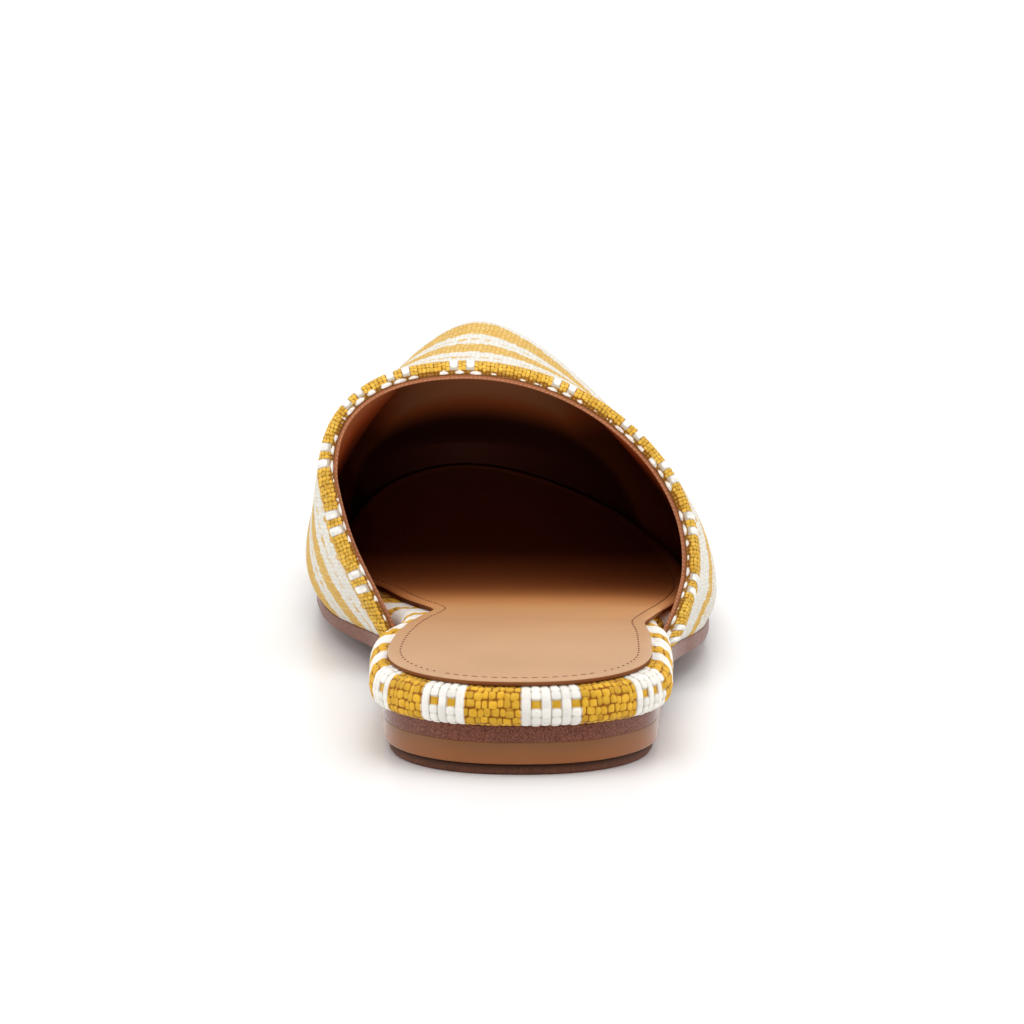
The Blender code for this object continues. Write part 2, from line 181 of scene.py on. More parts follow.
# Ridge of the upper: y, x, z, with z before the toe end is rounded.
RIDGE = (
    (70, -12.0, 66.0),
    (90, -12.0, 65.2),
    (110, -12.0, 64.0),
    (125, -11.5, 63.9),
    (140, -10.5, 63.9),
    (155, -9.5, 64.2),
    (165, -9.2, 62.8),
    (175, -9.2, 59.8),
    (190, -9.6, 53.4),
    (206, -10.2, 47.0),
    (215, -10.8, 43.6),
    (225, -11.4, 40.0),
    (240, -12.2, 35.0),
    (252, -12.5, 31.0),
)

# Widest point of each half section: y, x, then its height over the foot of the upper,
# then how far the section runs straight on from the ridge and from that widest point.
MEDIAL_BELLY = (
    (70, -30.0, 18.0, 0.64, 0.62),
    (85, -31.0, 24.0, 0.66, 0.64),
    (90, -32.8, 28.0, 0.70, 0.66),
    (95, -36.4, 30.5, 0.73, 0.69),
    (100, -40.8, 31.0, 0.75, 0.70),
    (104, -43.4, 29.8, 0.75, 0.70),
    (110, -44.8, 27.0, 0.72, 0.68),
    (125, -46.0, 18.0, 0.56, 0.58),
    (140, -47.2, 11.0, 0.46, 0.48),
    (155, -47.6, 9.0, 0.38, 0.36),
    (170, -47.2, 8.5, 0.38, 0.34),
    (185, -46.8, 8.5, 0.42, 0.38),
    (200, -46.8, 9.0, 0.48, 0.45),
    (215, -47.8, 9.0, 0.53, 0.50),
    (230, -49.0, 9.0, 0.55, 0.55),
    (252, -49.0, 9.0, 0.55, 0.55),
)
LATERAL_BELLY = (
    (70, 34.6, 17.0, 0.58, 0.54),
    (80, 36.2, 17.0, 0.59, 0.53),
    (90, 37.6, 14.0, 0.59, 0.53),
    (100, 39.6, 11.0, 0.60, 0.51),
    (110, 41.7, 8.5, 0.58, 0.48),
    (125, 43.0, 7.0, 0.48, 0.39),
    (140, 42.9, 6.0, 0.38, 0.29),
    (155, 42.0, 5.5, 0.32, 0.22),
    (170, 39.8, 6.0, 0.34, 0.24),
    (185, 37.1, 7.0, 0.40, 0.30),
    (200, 34.4, 8.0, 0.46, 0.40),
    (215, 32.0, 9.0, 0.50, 0.48),
    (230, 29.0, 9.0, 0.55, 0.55),
    (252, 24.0, 9.0, 0.55, 0.55),
)

# Collar line: share of the half section from the ridge to the foot, then y on each side.
COLLAR = (
    (0.00, 110.0, 110.0),
    (0.20, 109.6, 109.2),
    (0.40, 107.8, 105.8),
    (0.55, 105.3, 101.0),
    (0.70, 101.8, 93.8),
    (0.80, 98.8, 88.6),
    (0.90, 95.2, 83.4),
    (1.00, 91.0, 78.0),
)

# Edge profile of the footbed: inset, share of the height.
FOOTBED_PROFILE = (
    (2.7, 0.0),
    (1.0, 0.08),
    (0.25, 0.24),
    (0.0, 0.46),
    (0.3, 0.70),
    (1.2, 0.90),
    (2.9, 1.0),
)


def curve(rows, column):
    """A smooth curve through a column of a table, that never overshoots its rows."""
    keys = np.array([row[0] for row in rows], float)
    values = np.array([row[column] for row in rows], float)
    steps = np.diff(keys)
    rises = np.diff(values) / steps
    slopes = np.concatenate([rises[:1], np.zeros(len(keys) - 2), rises[-1:]])
    for i in range(1, len(keys) - 1):
        if rises[i - 1] * rises[i] > 0:
            before = 2 * steps[i] + steps[i - 1]
            after = steps[i] + 2 * steps[i - 1]
            slopes[i] = (before + after) / (before / rises[i - 1] + after / rises[i])

    def at(key):
        key = np.clip(np.asarray(key, float), keys[0], keys[-1])
        i = np.clip(np.searchsorted(keys, key, side="right") - 1, 0, len(steps) - 1)
        share = (key - keys[i]) / steps[i]
        rest = 1 - share
        return (
            (1 + 2 * share) * rest**2 * values[i]
            + share * rest**2 * steps[i] * slopes[i]
            + share**2 * (3 - 2 * share) * values[i + 1]
            - share**2 * rest * steps[i] * slopes[i + 1]
        )

    return at


def ease(share):
    share = np.clip(share, 0, 1)
    return share * share * (3 - 2 * share)


def forepart(y):
    """0 at the heel, 1 from the ball to the toe."""
    return ease((y - HEEL_BREAST) / (BALL_REST - HEEL_BREAST))


def toe_spring(y):
    return TOE_SPRING * np.clip((y - SPRING_START) / (LENGTH - SPRING_START), 0, 1) ** SPRING_POWER


def outsole_bottom(y):
    heel = LIFT_HEIGHT + GAP
    return heel + (EDGE_REST - heel) * forepart(y) + toe_spring(y)


def outsole_top(y):
    return outsole_bottom(y) + OUTSOLE + (OUTSOLE_EDGE - OUTSOLE) * forepart(y)


def bulge(y, across):
    """How far the outsole's underside comes down in its middle, to tread on the floor."""
    down, low, still_low, up = BULGE
    along = ease((y - down) / (low - down)) * (1 - ease((y - still_low) / (up - still_low)))
    return (FLOOR_DEPTH + EDGE_REST) * along * (1 - np.abs(2 * across - 1) ** BULGE_POWER)


def insole_top(y):
    fall = (INSOLE_HEEL_TOP - INSOLE_BALL_TOP) * ease((y - WAIST[0]) / (WAIST[1] - WAIST[0]))
    return INSOLE_HEEL_TOP - fall + toe_spring(y)


def insole_bottom(y):
    return insole_top(y) - INSOLE


def rounding(y, edge, depth, power):
    """1 away from a rounded end, falling to 0 at its tip; depth is signed, + for the toe."""
    into = np.clip(1 - (edge - y) / depth, 0, 1)
    return (1 - into**power) ** (1 / power)


def outline(rows, back, front, toe_round=TOE_ROUND):
    """The outline of a flat piece: x and y from the share along it, the side (-1 or 1), an inset."""
    medial, lateral = curve(rows, 1), curve(rows, 2)

    def at(along, side, inset):
        start, end = back + inset, front - inset
        y = start + (end - start) * (1 - np.cos(math.pi * along)) / 2
        middle, half = (medial(y) + lateral(y)) / 2, (lateral(y) - medial(y)) / 2 - inset
        half = half * rounding(y, start, inset - HEEL_ROUND, HEEL_POWER)
        if toe_round:
            half = half * rounding(y, end, toe_round - inset, TOE_POWER)
        return np.column_stack([middle + side * half, y])

    return at


def last(y, across):
    """Outer surface of the upper: across runs from -1 at the medial foot to 1 at the lateral."""
    y, across = np.broadcast_arrays(np.asarray(y, float), np.asarray(across, float))
    side = np.where(across < 0, -1.0, 1.0)

    def per_side(column):
        return np.where(
            across < 0, curve(MEDIAL_BELLY, column)(y), curve(LATERAL_BELLY, column)(y)
        )

    sole_x = np.where(across < 0, curve(SOLE_EDGE, 1)(y), curve(SOLE_EDGE, 2)(y))
    middle = (curve(SOLE_EDGE, 1)(y) + curve(SOLE_EDGE, 2)(y)) / 2
    foot_x = sole_x - side * FOOT_INSET
    foot_z = outsole_top(y) + GAP
    belly_x, belly_z = per_side(1), foot_z + per_side(2)
    ridge_x, ridge_z = curve(RIDGE, 1)(y), curve(RIDGE, 2)(y)
    blunt = rounding(y, LENGTH, TOE_ROUND, TOE_POWER)

    down = np.clip(np.abs(across) / BELLY_SHARE, 0, 1)
    up = 1 - down
    crest = foot_z + TOE_HEIGHT
    crest = crest + (ridge_z - crest) * blunt
    width, height = belly_x - ridge_x, crest - belly_z
    x = ridge_x + width * (3 * down * up**2 * per_side(3) + 3 * down**2 * up + down**3)
    z = belly_z + height * (up**3 + 3 * down * up**2 + 3 * down**2 * up * per_side(4))

    tuck = np.clip((np.abs(across) - BELLY_SHARE) / (1 - BELLY_SHARE), 0, 1) * TUCK_TURN
    x = x + (foot_x - belly_x) * (1 - np.cos(tuck)) / (1 - math.cos(TUCK_TURN))
    z = z - (belly_z - foot_z) * np.sin(tuck) / math.sin(TUCK_TURN)
    return np.stack([middle + (x - middle) * blunt, y, z], axis=-1)


def collar_y(across):
    share = np.abs(across)
    return np.where(across < 0, curve(COLLAR, 1)(share), curve(COLLAR, 2)(share))


def unit(vectors):
    return vectors / np.linalg.norm(vectors, axis=-1, keepdims=True)


def outward(y, across):
    """Unit normal of the last."""
    y = np.minimum(y, LENGTH - 2 * STEP_Y)
    across = np.clip(across, -1 + STEP_ACROSS, 1 - STEP_ACROSS)
    forwards = last(y + STEP_Y, across) - last(y - STEP_Y, across)
    sideways = last(y, across + STEP_ACROSS) - last(y, across - STEP_ACROSS)
    return unit(np.cross(sideways, forwards))


def collar_frame(across):
    """At each point of the collar line: the point, the normal, and forwards square to the line."""
    across = np.clip(across, -1, 1)
    y = collar_y(across)
    ends = np.clip(np.stack([across - COLLAR_STEP, across + COLLAR_STEP]), -1, 1)
    before, after = last(collar_y(ends[0]), ends[0]), last(collar_y(ends[1]), ends[1])
    normal = outward(y, across)
    forwards = unit(np.cross(normal, after - before))
    return last(y, across), normal, forwards


def upper_back_y(across):
    """Where the upper starts: a gap in front of the binding, along the last."""
    y = collar_y(across)
    line, _, forwards = collar_frame(across)
    wanted = BINDING_WIDTH + RIM_GAP
    for _ in range(SEARCH_ROUNDS):
        reached = np.sum((last(y, across) - line) * forwards, axis=-1)
        step = last(y + SEARCH_STEP, across) - last(y - SEARCH_STEP, across)
        rate = np.sum(step * forwards, axis=-1) / (2 * SEARCH_STEP)
        y = y + (wanted - reached) / np.maximum(rate, SLOWEST)
    return y


# The working frame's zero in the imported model: the sole's edge is known in both.
sole_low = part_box("outsole")[0]
sole_edge = outline(SOLE_EDGE, 0.0, LENGTH)
sole_medial = sole_edge(np.linspace(0, 1, 2001), -1, 0)[:, 0].min()
ZERO = np.array([sole_low.x / MM - sole_medial, sole_low.y / MM, FLOOR_DEPTH])

MARKS = ("yellow", "crown", "tone", "shade")  # what pieces leave on each vertex, for the material
CLOSE = 1e-6  # shares or millimetres this near are the same


def place(points):
    """Working frame, millimetres, to the model's frame, metres."""
    return (points + ZERO) * MM


def patch(bm, cells, shape, chart=None, marks=None, material=0):
    """Adds a grid of quads whose corners shape() places, from their shares along and across.

    chart() gives the piece's UV, and marks() values for some of the MARKS, by name.
    """
    sheet = bm.loops.layers.uv.verify() if chart else None
    kept = bm.verts.layers.float
    mark_layers = {name: kept.get(name) or kept.new(name) for name in MARKS}
    made = bmesh.ops.create_grid(bm, x_segments=cells[0], y_segments=cells[1], size=0.5)["verts"]
    along, across = np.clip(np.array([vert.co[:2] for vert in made]) + 0.5, 0, 1).T
    for face in {face for vert in made for face in vert.link_faces}:
        face.material_index = material
        face.smooth = True
    if chart:
        for vert, spot in zip(made, chart(along, across).tolist()):
            for loop in vert.link_loops:
                loop[sheet].uv = spot
    if marks:
        for name, values in marks(along, across).items():
            for vert, value in zip(made, values.tolist()):
                vert[mark_layers[name]] = value
    for vert, point in zip(made, place(shape(along, across)).tolist()):
        vert.co = point


def finish(bm, name, materials, node=None):
    """Welds the patches, turns the faces outwards, makes the object and ties it to the model."""
    bmesh.ops.remove_doubles(bm, verts=bm.verts, dist=WELD)
    bmesh.ops.dissolve_degenerate(bm, edges=bm.edges, dist=WELD)
    bmesh.ops.recalc_face_normals(bm, faces=bm.faces)
    thing = bare_object(bm, name, materials)
    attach(thing, "root")
    if node:
        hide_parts(node)
    return thing


def bare_object(bm, name, materials):
    mesh = bpy.data.meshes.new(name)
    bm.to_mesh(mesh)
    bm.free()
    for material in materials:
        mesh.materials.append(material)
    thing = bpy.data.objects.new(name, mesh)
    bpy.context.collection.objects.link(thing)
    return thing


def jitter(index, seed):
    """A number from 0 to 1 that looks random, always the same for the same index."""
    return fraction(np.sin(index * 12.9898 + seed * 78.233) * 43758.5453)


def fraction(value):
    return value - np.floor(value)


def pillow(share, fullness):
    """0 at both ends of a thread and 1 over most of its width."""
    return 1 - np.abs(2 * share - 1) ** fullness


def resample(points):
    """Distance along a line of points, starting at 0."""
    steps = np.linalg.norm(np.diff(points, axis=0), axis=1)
    return np.concatenate([[0], np.cumsum(steps)])


# ---------------------------------------------------------------- materials

BLACK, WHITE = "000000", "ffffff"
COTTON = {"Roughness": 0.9, "Specular IOR Level": 0.2, "Sheen Weight": 0.08}
WAXED = {"Roughness": 0.6, "Specular IOR Level": 0.15, "Coat Weight": 1.0, "Coat IOR": 1.25}


def colour(code):
    """An sRGB hex colour in linear light."""
    parts = [int(code[i : i + 2], 16) / 255 for i in (0, 2, 4)]
    linear = [c / 12.92 if c <= 0.04045 else ((c + 0.055) / 1.055) ** 2.4 for c in parts]
    return (*linear, 1.0)


def feed(tree, node, sockets):
    """Sets sockets to values, or links them to an output or to a node's first output."""
    for key, value in sockets.items():
        if isinstance(value, bpy.types.Node):
            value = next(output for output in value.outputs if output.enabled)
        if isinstance(value, bpy.types.NodeSocket):
            tree.links.new(value, node.inputs[key])
        else:
            node.inputs[key].default_value = value


def add(tree, kind, sockets=None, stops=(), **settings):
    """Adds a node with its settings, what its sockets take, and the stops of a colour ramp."""
    made = tree.nodes.new("ShaderNode" + kind)
    for key, value in settings.items():
        setattr(made, key, value)
    for i, (spot, code) in enumerate(stops):
        elements = made.color_ramp.elements
        stop = elements[i] if i < 2 else elements.new(spot)
        stop.position, stop.color = spot, colour(code)
    feed(tree, made, sockets or {})
    return made


def new_material(name, constants):
    """A material and its node tree; what is the same all over is set on the shader itself."""
    material = bpy.data.materials.new(name)
    material.use_nodes = True
    tree = material.node_tree
    feed(tree, tree.nodes["Principled BSDF"], constants)
    return material, tree


def dress(material, inputs, relief=None, depth=0.0, strength=0.0):
    """Links the shader's inputs and, where there is a relief, a bump of that depth in mm."""
    tree = material.node_tree
    if relief:
        bump = {"Height": relief, "Distance": depth * MM, "Strength": strength}
        inputs = {**inputs, "Normal": add(tree, "Bump", bump)}
    feed(tree, tree.nodes["Principled BSDF"], inputs)
    return material


def charted_cotton(name, yellow, yellow_gap_shade, white, white_gap_shade):
    """Woven cotton yarn, undyed and dyed yellow, matt and slightly hairy.

    The mesh carries the weave: yellow, crown (0 in a gap, 1 on top of a thread) and tone.
    The gaps take darker colours than the threads: painted shade.
    """
    material, tree = new_material(name, COTTON)
    dyed, crown, tone = (
        add(tree, "Attribute", attribute_name=mark).outputs["Fac"] for mark in MARKS[:3]
    )
    where = add(tree, "TexCoord").outputs["Object"]
    # Spun fibres, drawn 0.3 mm coarse so that they show, and softer blotches of about 1.5 mm.
    fine = {"Vector": where, "Scale": 1 / (0.30 * MM), "Detail": 3.0, "Roughness": 0.7}
    fibre = add(tree, "TexNoise", fine)
    blotch = add(tree, "TexNoise", {"Vector": where, "Scale": 1 / (1.5 * MM), "Detail": 1.0})
    top = add(tree, "ValToRGB", {"Fac": crown}, ((0.05, BLACK), (0.50, WHITE)))
    top.color_ramp.interpolation = "EASE"
    shade = add(tree, "Math", {0: tone, 1: 0.30, 2: 0.67}, operation="MULTIPLY_ADD")
    shade = add(tree, "Math", {0: fibre, 1: 0.30, 2: shade}, operation="MULTIPLY_ADD")
    dye = {0: blotch, 6: colour(yellow[0]), 7: colour(yellow[1])}
    dye = add(tree, "Mix", dye, data_type="RGBA")
    yarn = add(tree, "Mix", {0: dyed, 6: colour(white), 7: dye}, data_type="RGBA")
    # The gaps between threads take darker colours: painted shade.
    gap_shade = {0: dyed, 6: colour(white_gap_shade), 7: colour(yellow_gap_shade)}
    gap_shade = add(tree, "Mix", gap_shade, data_type="RGBA")
    lit = {0: 1.0, 6: yarn, 7: shade}
    lit = add(tree, "Mix", lit, data_type="RGBA", blend_type="MULTIPLY")
    cloth = add(tree, "Mix", {0: top, 6: gap_shade, 7: lit}, data_type="RGBA")
    return dress(material, {"Base Color": cloth}, fibre, 0.12, 0.6)


BAND_REPEAT = 19.4  # mm from one yellow band of the vamp to the next
BAND_START = 10.8  # mm from the binding to the first of them
BAND_YELLOW = 9.4  # mm, width of a band
BAND_FADE = 0.015  # of a repeat, over which a band's edge turns
STRETCH = (35.0, 0.6)  # mm from the binding where the bands grow wider, and their pace beyond
NARROWED = (62.0, 86.0, 1.8)  # mm round to the lateral side where they grow narrower, how much
WANDER, RAGGED = 1.2, 3.0  # mm by which the bands drift, and by which their edges are uneven
LINE_SHARE = 0.72  # of a repeat, to the middle of the dotted line
LINE_HALF = 0.028  # of a repeat, half the line's width
DASH = 2.9  # mm from one of its dashes to the next
DASH_SHARE = 0.74  # of that, the length of a dash


def banded_cotton():
    """The same cloth on the vamp: yellow bands along the topline, a dotted line between them.

    The UV is in millimetres: x round from the ridge, y forward of the binding.
    """
    material, tree = new_material("woven_cotton", COTTON)
    uv = add(tree, "UVMap")
    # Beads of yarn about 1 mm across, each of one colour: the pattern is read at their middles.
    bead = {"Vector": uv, "Scale": 1.0, "Randomness": 0.65}
    beads = add(tree, "TexVoronoi", bead, voronoi_dimensions="2D")
    middle = beads.outputs["Position"]
    round_, forward = add(tree, "SeparateXYZ", {0: middle}).outputs[:2]
    v = add(tree, "Math", {0: forward, 1: BAND_START + (WANDER + RAGGED) / 2}, operation="SUBTRACT")
    for drift, scale in ((WANDER, 0.12), (RAGGED, 0.8)):
        noise = {"Vector": middle, "Scale": scale, "Detail": 1.0}
        noise = add(tree, "TexNoise", noise, noise_dimensions="2D")
        v = add(tree, "Math", {0: noise, 1: drift, 2: v}, operation="MULTIPLY_ADD")
    start, pace = STRETCH[0] - BAND_START, STRETCH[1]
    slower = add(tree, "MapRange", {0: v, 1: start, 2: start + 100, 3: 0.0, 4: 100 * (pace - 1)})
    v = add(tree, "Math", {0: v, 1: slower}, operation="ADD")
    turn = add(tree, "Math", {0: v, 1: BAND_REPEAT}, operation="DIVIDE")
    turn = add(tree, "Math", {0: turn}, operation="FRACT")
    begin, end, much = NARROWED
    narrow = add(tree, "MapRange", {0: round_, 1: begin, 2: end, 3: 1.0, 4: much})
    turn = add(tree, "Math", {0: turn, 1: narrow}, operation="MULTIPLY")
    share = BAND_YELLOW / BAND_REPEAT
    stops = ((0.0, BLACK), (2 * BAND_FADE, WHITE))
    stops += ((share - BAND_FADE, WHITE), (share + BAND_FADE, BLACK))
    band = add(tree, "ValToRGB", {"Fac": turn}, stops)
    # The dotted line: bricks one thread high, every other one missing or weak.
    edges = ((-1.3, BLACK), (-0.7, WHITE), (0.7, WHITE), (1.3, BLACK))
    stops = [(LINE_SHARE + side * LINE_HALF, code) for side, code in edges]
    line = add(tree, "ValToRGB", {"Fac": turn}, stops)
    dash = add(tree, "Math", {0: round_, 1: 1 / DASH}, operation="MULTIPLY")
    dash = add(tree, "Math", {0: dash}, operation="FRACT")
    dash = add(tree, "Math", {0: dash, 1: DASH_SHARE}, operation="LESS_THAN")
    strong = {"Vector": uv, "Scale": 0.16, "Detail": 0.0}
    strong = add(tree, "TexNoise", strong, noise_dimensions="2D")
    strong = add(tree, "MapRange", {0: strong, 1: 0.42, 2: 0.58, 3: 0.55, 4: 1.0})
    dots = add(tree, "Math", {0: line, 1: dash}, operation="MULTIPLY")
    dots = add(tree, "Math", {0: dots, 1: strong}, operation="MULTIPLY")
    dyed = add(tree, "Math", {0: band, 1: dots}, operation="MAXIMUM")
    rim = add(tree, "TexVoronoi", bead, voronoi_dimensions="2D", feature="DISTANCE_TO_EDGE")
    crown = add(tree, "MapRange", {0: rim, 1: 0.0, 2: 0.28})
    fibre = {"Vector": uv, "Scale": 4.0, "Detail": 3.0, "Roughness": 0.7}
    fibre = add(tree, "TexNoise", fibre, noise_dimensions="2D")
    tone = add(tree, "SeparateColor", {0: beads.outputs["Color"]})
    dye = add(tree, "Mix", {0: tone, 6: colour("e0b04a"), 7: colour("f3d587")}, data_type="RGBA")
    raw = add(tree, "Mix", {0: tone, 6: colour("e8e4da"), 7: colour("f6f3ec")}, data_type="RGBA")
    yarn = add(tree, "Mix", {0: dyed, 6: raw, 7: dye}, data_type="RGBA")
    # Between the beads the cloth takes darker colours: painted shade in the gaps.
    gap_shade = add(tree, "Mix", {0: dyed, 6: colour("e2dccf"), 7: colour("d2a043")}, data_type="RGBA")
    cloth = add(tree, "Mix", {0: crown, 6: gap_shade, 7: yarn}, data_type="RGBA")
    relief = add(tree, "Math", {0: fibre, 1: 0.35, 2: crown}, operation="MULTIPLY_ADD")
    return dress(material, {"Base Color": cloth}, relief, 0.4, 0.6)


def grained_leather(name, stops, roughness, gloss, grain, depth):
    """Vegetable-tanned leather with a fine pebble, semi-matt.

    Its colour runs through the stops by the mark shade, and the stops hold painted light and
    shade: a paler painted sheen where light falls, and painted shade, dark, where little light
    reaches.
    """
    material, tree = new_material(name, {"Roughness": roughness, "Specular IOR Level": gloss})
    where = add(tree, "TexCoord").outputs["Object"]
    pores = {"Vector": where, "Scale": 1 / (grain * MM)}
    pores = add(tree, "TexVoronoi", pores, feature="SMOOTH_F1")
    fine = add(tree, "TexNoise", {"Vector": where, "Scale": 1 / (0.4 * grain * MM), "Detail": 3.0})
    cloud = add(tree, "TexNoise", {"Vector": where, "Scale": 1 / (25 * MM), "Detail": 2.0})
    shade = add(tree, "Attribute", attribute_name="shade").outputs["Fac"]
    tan_lit_and_shaded = add(tree, "ValToRGB", {"Fac": shade}, stops)
    drift = add(tree, "MapRange", {0: cloud, 1: 0.3, 2: 0.7, 3: 0.96, 4: 1.04})
    fleck = add(tree, "MapRange", {0: fine, 1: 0.3, 2: 0.7, 3: 0.94, 4: 1.04})
    both = add(tree, "Math", {0: drift, 1: fleck}, operation="MULTIPLY")
    tint = {0: 1.0, 6: tan_lit_and_shaded, 7: both}
    tint = add(tree, "Mix", tint, data_type="RGBA", blend_type="MULTIPLY")
    relief = add(tree, "Math", {0: fine, 1: pores}, operation="ADD")
    return dress(material, {"Base Color": tint}, relief, depth, 0.5)


POLISHED = (60.0, 110.0)  # mm from the heel where the sole edge's polish starts to fade, and ends


def speckled_leather():
    """Stacked leather sole edge, sanded and stained: dark brown with a fine pale speckle."""
    material, tree = new_material("stained_leather_edge", {**WAXED, "Coat Roughness": 0.15})
    where = add(tree, "TexCoord").outputs["Object"]
    speck = {"Vector": where, "Scale": 1 / (0.34 * MM), "Detail": 1.0, "Roughness": 0.6}
    speck = add(tree, "TexNoise", speck)
    stain = add(tree, "ValToRGB", {"Fac": speck}, ((0.36, "542617"), (0.64, "88503a")))
    # The wax is polished round the heel and dull along the forepart.
    ahead = add(tree, "SeparateXYZ", {0: where}).outputs["Y"]
    heel, ball = ((y + ZERO[1]) * MM for y in POLISHED)
    polish = add(tree, "MapRange", {0: ahead, 1: heel, 2: ball, 3: 1.0, 4: 0.35})
    return dress(material, {"Base Color": stain, "Coat Weight": polish}, speck, 0.05, 0.4)


def moulded_rubber():
    """Moulded rubber, buffed smooth, with a soft gloss: olive brown at the top, lighter and warmer
    below, painted light from the bright floor.
    """
    material, tree = new_material("moulded_rubber", {**WAXED, "Coat Roughness": 0.12})
    where = add(tree, "TexCoord").outputs["Object"]
    height = add(tree, "SeparateXYZ", {0: where}).outputs["Z"]
    cloud = add(tree, "TexNoise", {"Vector": where, "Scale": 1 / (9 * MM), "Detail": 1.0})
    level = add(tree, "Math", {0: cloud, 1: 1.5 * MM, 2: height}, operation="MULTIPLY_ADD")
    low, high = FLOOR_DEPTH + 0.5, FLOOR_DEPTH + LIFT_HEIGHT + 0.9
    share = add(tree, "MapRange", {0: level, 1: low * MM, 2: high * MM})
    # Lighter and warmer towards the bottom: painted light from the floor below.
    rubber = add(tree, "ValToRGB", {"Fac": share}, ((0.0, "9a5c2e"), (1.0, "80522e")))
    return dress(material, {"Base Color": rubber})


def tread_rubber():
    """Hard-wearing sole rubber, cut and not buffed: dull brown, painted darker towards its top as
    shade under the lift's edge.
    """
    material, tree = new_material("tread_rubber", {"Roughness": 0.7, "Specular IOR Level": 0.3})
    where = add(tree, "TexCoord").outputs["Object"]
    grain = add(tree, "TexNoise", {"Vector": where, "Scale": 1 / (0.6 * MM), "Detail": 2.0})
    rubber = add(tree, "ValToRGB", {"Fac": grain}, ((0.3, "5c3524"), (0.7, "784a36")))
    height = add(tree, "SeparateXYZ", {0: where}).outputs["Z"]
    # The top of the tip, under the lift's overhanging edge, is painted dark: painted shade.
    painted_shade = add(tree, "MapRange", {0: height, 1: 0.7 * MM, 2: TIP_HEIGHT * MM})
    shaded_rubber = add(tree, "Mix", {0: painted_shade, 6: rubber, 7: colour("38200f")}, data_type="RGBA")
    return dress(material, {"Base Color": shaded_rubber}, grain, 0.05, 0.4)


def plain(name, code, roughness):
    return new_material(name, {"Base Color": colour(code), "Roughness": roughness})[0]


# ---------------------------------------------------------------- sole

# Edges of the layers, smoother than the solids: inset, share of the height.
ROUND_TIP = ((TIP_INSET + 0.5, 0.0), (TIP_INSET + 0.1, 0.2), (TIP_INSET, 0.4), (TIP_INSET, 1.0))
ROUND_LIFT = ((0.5, 0.0), (0.15, 0.05), (0.0, 0.14), (0.0, 0.95), (0.03, 1.0))
ROUND_OUTSOLE = ((0.05, 0.0), (0.0, 0.05), (0.0, 0.2), (0.0, 0.88), (0.1, 1.0))
# The insole's has a pressed groove for the stitches.
ROUND_INSOLE = (
    (0.25, 0.0),
    (0.0, 0.25),
    (0.0, 0.75),
    (0.12, 0.92),
    (0.5, 1.08),
    (1.2, 1.16),
    (2.0, 1.12),
    (2.5, 1.02),
    (2.8, 0.97),
    (3.1, 1.00),
    (3.8, 1.02),
    (5.0, 1.0),
)
CUT_EDGE = 2  # steps of that profile that show the raw cut of the leather
HEEL_CELLS, OUTSOLE_CELLS, INSOLE_CELLS = (160, 8), (240, 16), (240, 24)  # along, across

# Colour of the insole by its distance from the heel, as a share of SHADE_RUN mm: tan leather
# with painted light and shade, paler at the heel for its sheen, brighter orange towards the
# waist for the light bounced inside, and painted shade going dark in the toe.
SHADE_RUN = 200.0
SOCK_TANS_LIT_AND_SHADED = (
    (0.15, "c39b77"),
    (0.32, "c39268"),
    (0.44, "d19a68"),
    (0.56, "e09a5e"),
    (0.66, "c47a44"),
    (0.88, "5e2a14"),
)
# Colour of the insole's cut edge by the same mark: a dark raw edge, going to painted shade in the
# toe.
CUT_TANS_SHADED = ((0.3, "84502f"), (0.6, "6a3a20"), (0.8, "2c120a"))

CORNER_REACH = 0.011  # share of the insole's edge over which its corners are rounded
STITCH_REACH = 0.016  # the same for the line of stitches
STITCH = 2.15  # mm from one stitch of the insole to the next
STITCH_INSET = 2.8
STITCH_LEVEL = 0.93  # of the insole's thickness, just under the bottom of the groove
STITCH_END = 0.985  # share of the edge on each side that the line of stitches is laid out on
LAST_STITCH = 150.0  # mm from the heel: the rest is in the dark of the toe
BACK_STITCHES = 9.0  # mm from the heel, up to where the thread is painted darker: painted shade of the sunk stitches
# Length, width and thickness of a thread, of the back ones painted dark as shade,
# and of a needle hole's dark bead, painted shade.
THREAD, SHADED_THREAD, HOLE = (1.20, 0.34, 0.14), (1.65, 0.50, 0.46), (0.60, 0.50, 0.46)


def lift_top(y):
    """The lift is glued to the sole, so it fills the solids' gap."""
    return 0 * y + LIFT_HEIGHT + GAP


def lift_bottom(y):
    return 0 * y


def floor_level(y):
    return 0 * y - FLOOR_DEPTH


def above_outsole(y):
    return outsole_top(y) + GAP


def under_insole(y):
    return insole_bottom(y) - GAP


